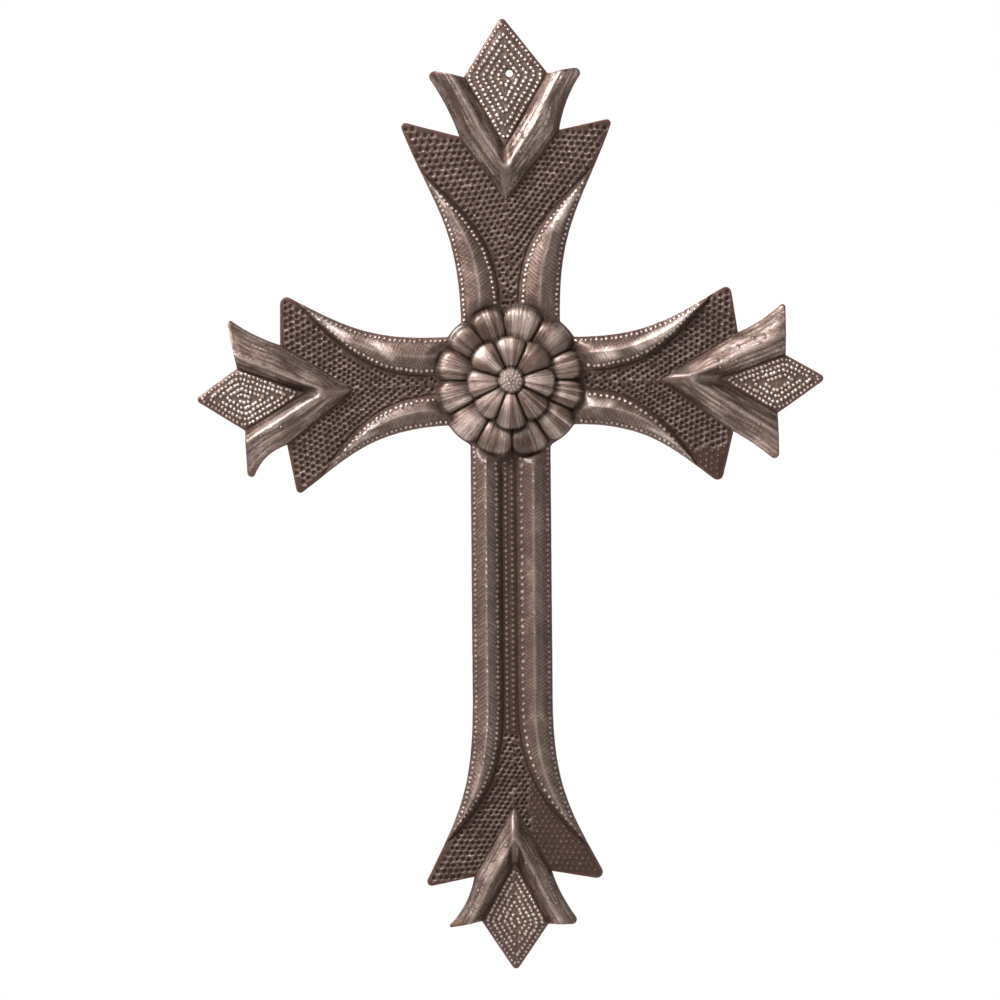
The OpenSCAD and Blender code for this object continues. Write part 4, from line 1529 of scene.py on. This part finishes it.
stage = {
    "floorDrop": 0.3,          # below the lowest point
    "floorSize": 5.0,
    "floorColor": (0.82, 0.82, 0.81, 1),
    "floorPale": (0.86, 0.86, 0.85, 1),
    "floorRough": 0.85,
    "floorWhite": 0.92,        # how far the floor shows as white, so that only soft shadows stay
    "patchSize": 9.0,
    "patchContrast": 0.6,
    "worldStrength": 0.55,
    "frameWidth": 0.4727,
    "frameMiddle": (-0.0044, -0.2015),
    "cameraAway": 4.0,
    "sensor": 36,
    "lamps": (
        # name, direction to the lamp, distance, size, power
        ("keyLamp", (-0.62, -0.5, 0.72), 1.4, 0.5, 52),
        ("softLamp", (-0.25, -0.8, 0.6), 1.8, 0.8, 12),
        ("fillLamp", (0.8, -0.6, -0.1), 1.6, 0.7, 4),
        ("backLamp", (-0.4, 0.8, 0.5), 1.6, 0.8, 26),
    ),
}


def buildFloor():
    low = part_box("cross")[0]
    half = stage["floorSize"] / 2
    z = low.z - stage["floorDrop"]
    mesh = bpy.data.meshes.new("floor")
    corners = [(-half, -half, z), (half, -half, z), (half, half, z), (-half, half, z)]
    mesh.from_pydata(corners, [], [(0, 1, 2, 3)])
    floor = linked("floor", mesh)
    material = bpy.data.materials.new("paleFloor")
    material.use_nodes = True
    tree = material.node_tree
    shader = tree.nodes["Principled BSDF"]
    mottle = addNode(
        tree, "ShaderNodeGroup", {"node_tree": groups["mottle"]},
        Size=stage["patchSize"], Contrast=stage["patchContrast"],
    )
    color = mixColor(tree, mottle.outputs["Mask"], stage["floorColor"], stage["floorPale"])
    tree.links.new(color, shader.inputs["Base Color"])
    shader.inputs["Roughness"].default_value = stage["floorRough"]
    path = addNode(tree, "ShaderNodeLightPath").outputs
    seen = mathNode(tree, "MULTIPLY", path["Is Camera Ray"], stage["floorWhite"])
    white = addNode(tree, "ShaderNodeEmission", Color=(1, 1, 1, 1), Strength=1.0)
    mixed = addNode(tree, "ShaderNodeMixShader", i0=seen, i1=shader.outputs[0], i2=white.outputs[0])
    tree.links.new(mixed.outputs[0], tree.nodes["Material Output"].inputs["Surface"])
    mesh.materials.append(material)
    floor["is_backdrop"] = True


def buildWorld():
    # soft white light, seen as plain white
    world = bpy.data.worlds.new("studio")
    bpy.context.scene.world = world
    world.use_nodes = True
    tree = world.node_tree
    tree.nodes.clear()
    path = addNode(tree, "ShaderNodeLightPath").outputs
    seen = mathNode(tree, "MAXIMUM", path["Is Camera Ray"], path["Is Glossy Ray"])
    seen = mathNode(tree, "MAXIMUM", seen, path["Is Transmission Ray"])
    light, white = (
        addNode(tree, "ShaderNodeBackground", Color=(1, 1, 1, 1), Strength=strength).outputs[0]
        for strength in (stage["worldStrength"], 1.0)
    )
    mixed = addNode(tree, "ShaderNodeMixShader", i0=seen, i1=light, i2=white)
    addNode(tree, "ShaderNodeOutputWorld", Surface=mixed.outputs[0])


def buildLamps():
    x, z = stage["frameMiddle"]
    middle = Vector((x, 0, z))
    for name, direction, distance, size, power in stage["lamps"]:
        lamp = bpy.data.lights.new(name, "AREA")
        lamp.shape = "DISK"
        lamp.size = size
        lamp.energy = power
        holder = linked(name, lamp)
        holder.location = middle + Vector(direction).normalized() * distance
        holder.rotation_euler = (middle - holder.location).to_track_quat("-Z", "Y").to_euler()


def buildCamera():
    data = bpy.data.cameras.new("camera")
    data.sensor_width = stage["sensor"]
    data.lens = data.sensor_width * stage["cameraAway"] / stage["frameWidth"]
    camera = linked("camera", data)
    x, z = stage["frameMiddle"]
    camera.location = (x, -stage["cameraAway"], z)
    camera.rotation_euler = (math.radians(90), 0, 0)
    bpy.context.scene.camera = camera


buildFloor()
buildWorld()
buildLamps()
buildCamera()
bpy.context.scene.view_settings.view_transform = "Standard"
print("stage set")

low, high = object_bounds()
for label, box in (("box", (*cadLow, *cadHigh)), ("visual", (*low, *high))):
    print(label, [round(v * 1000, 2) for v in box])
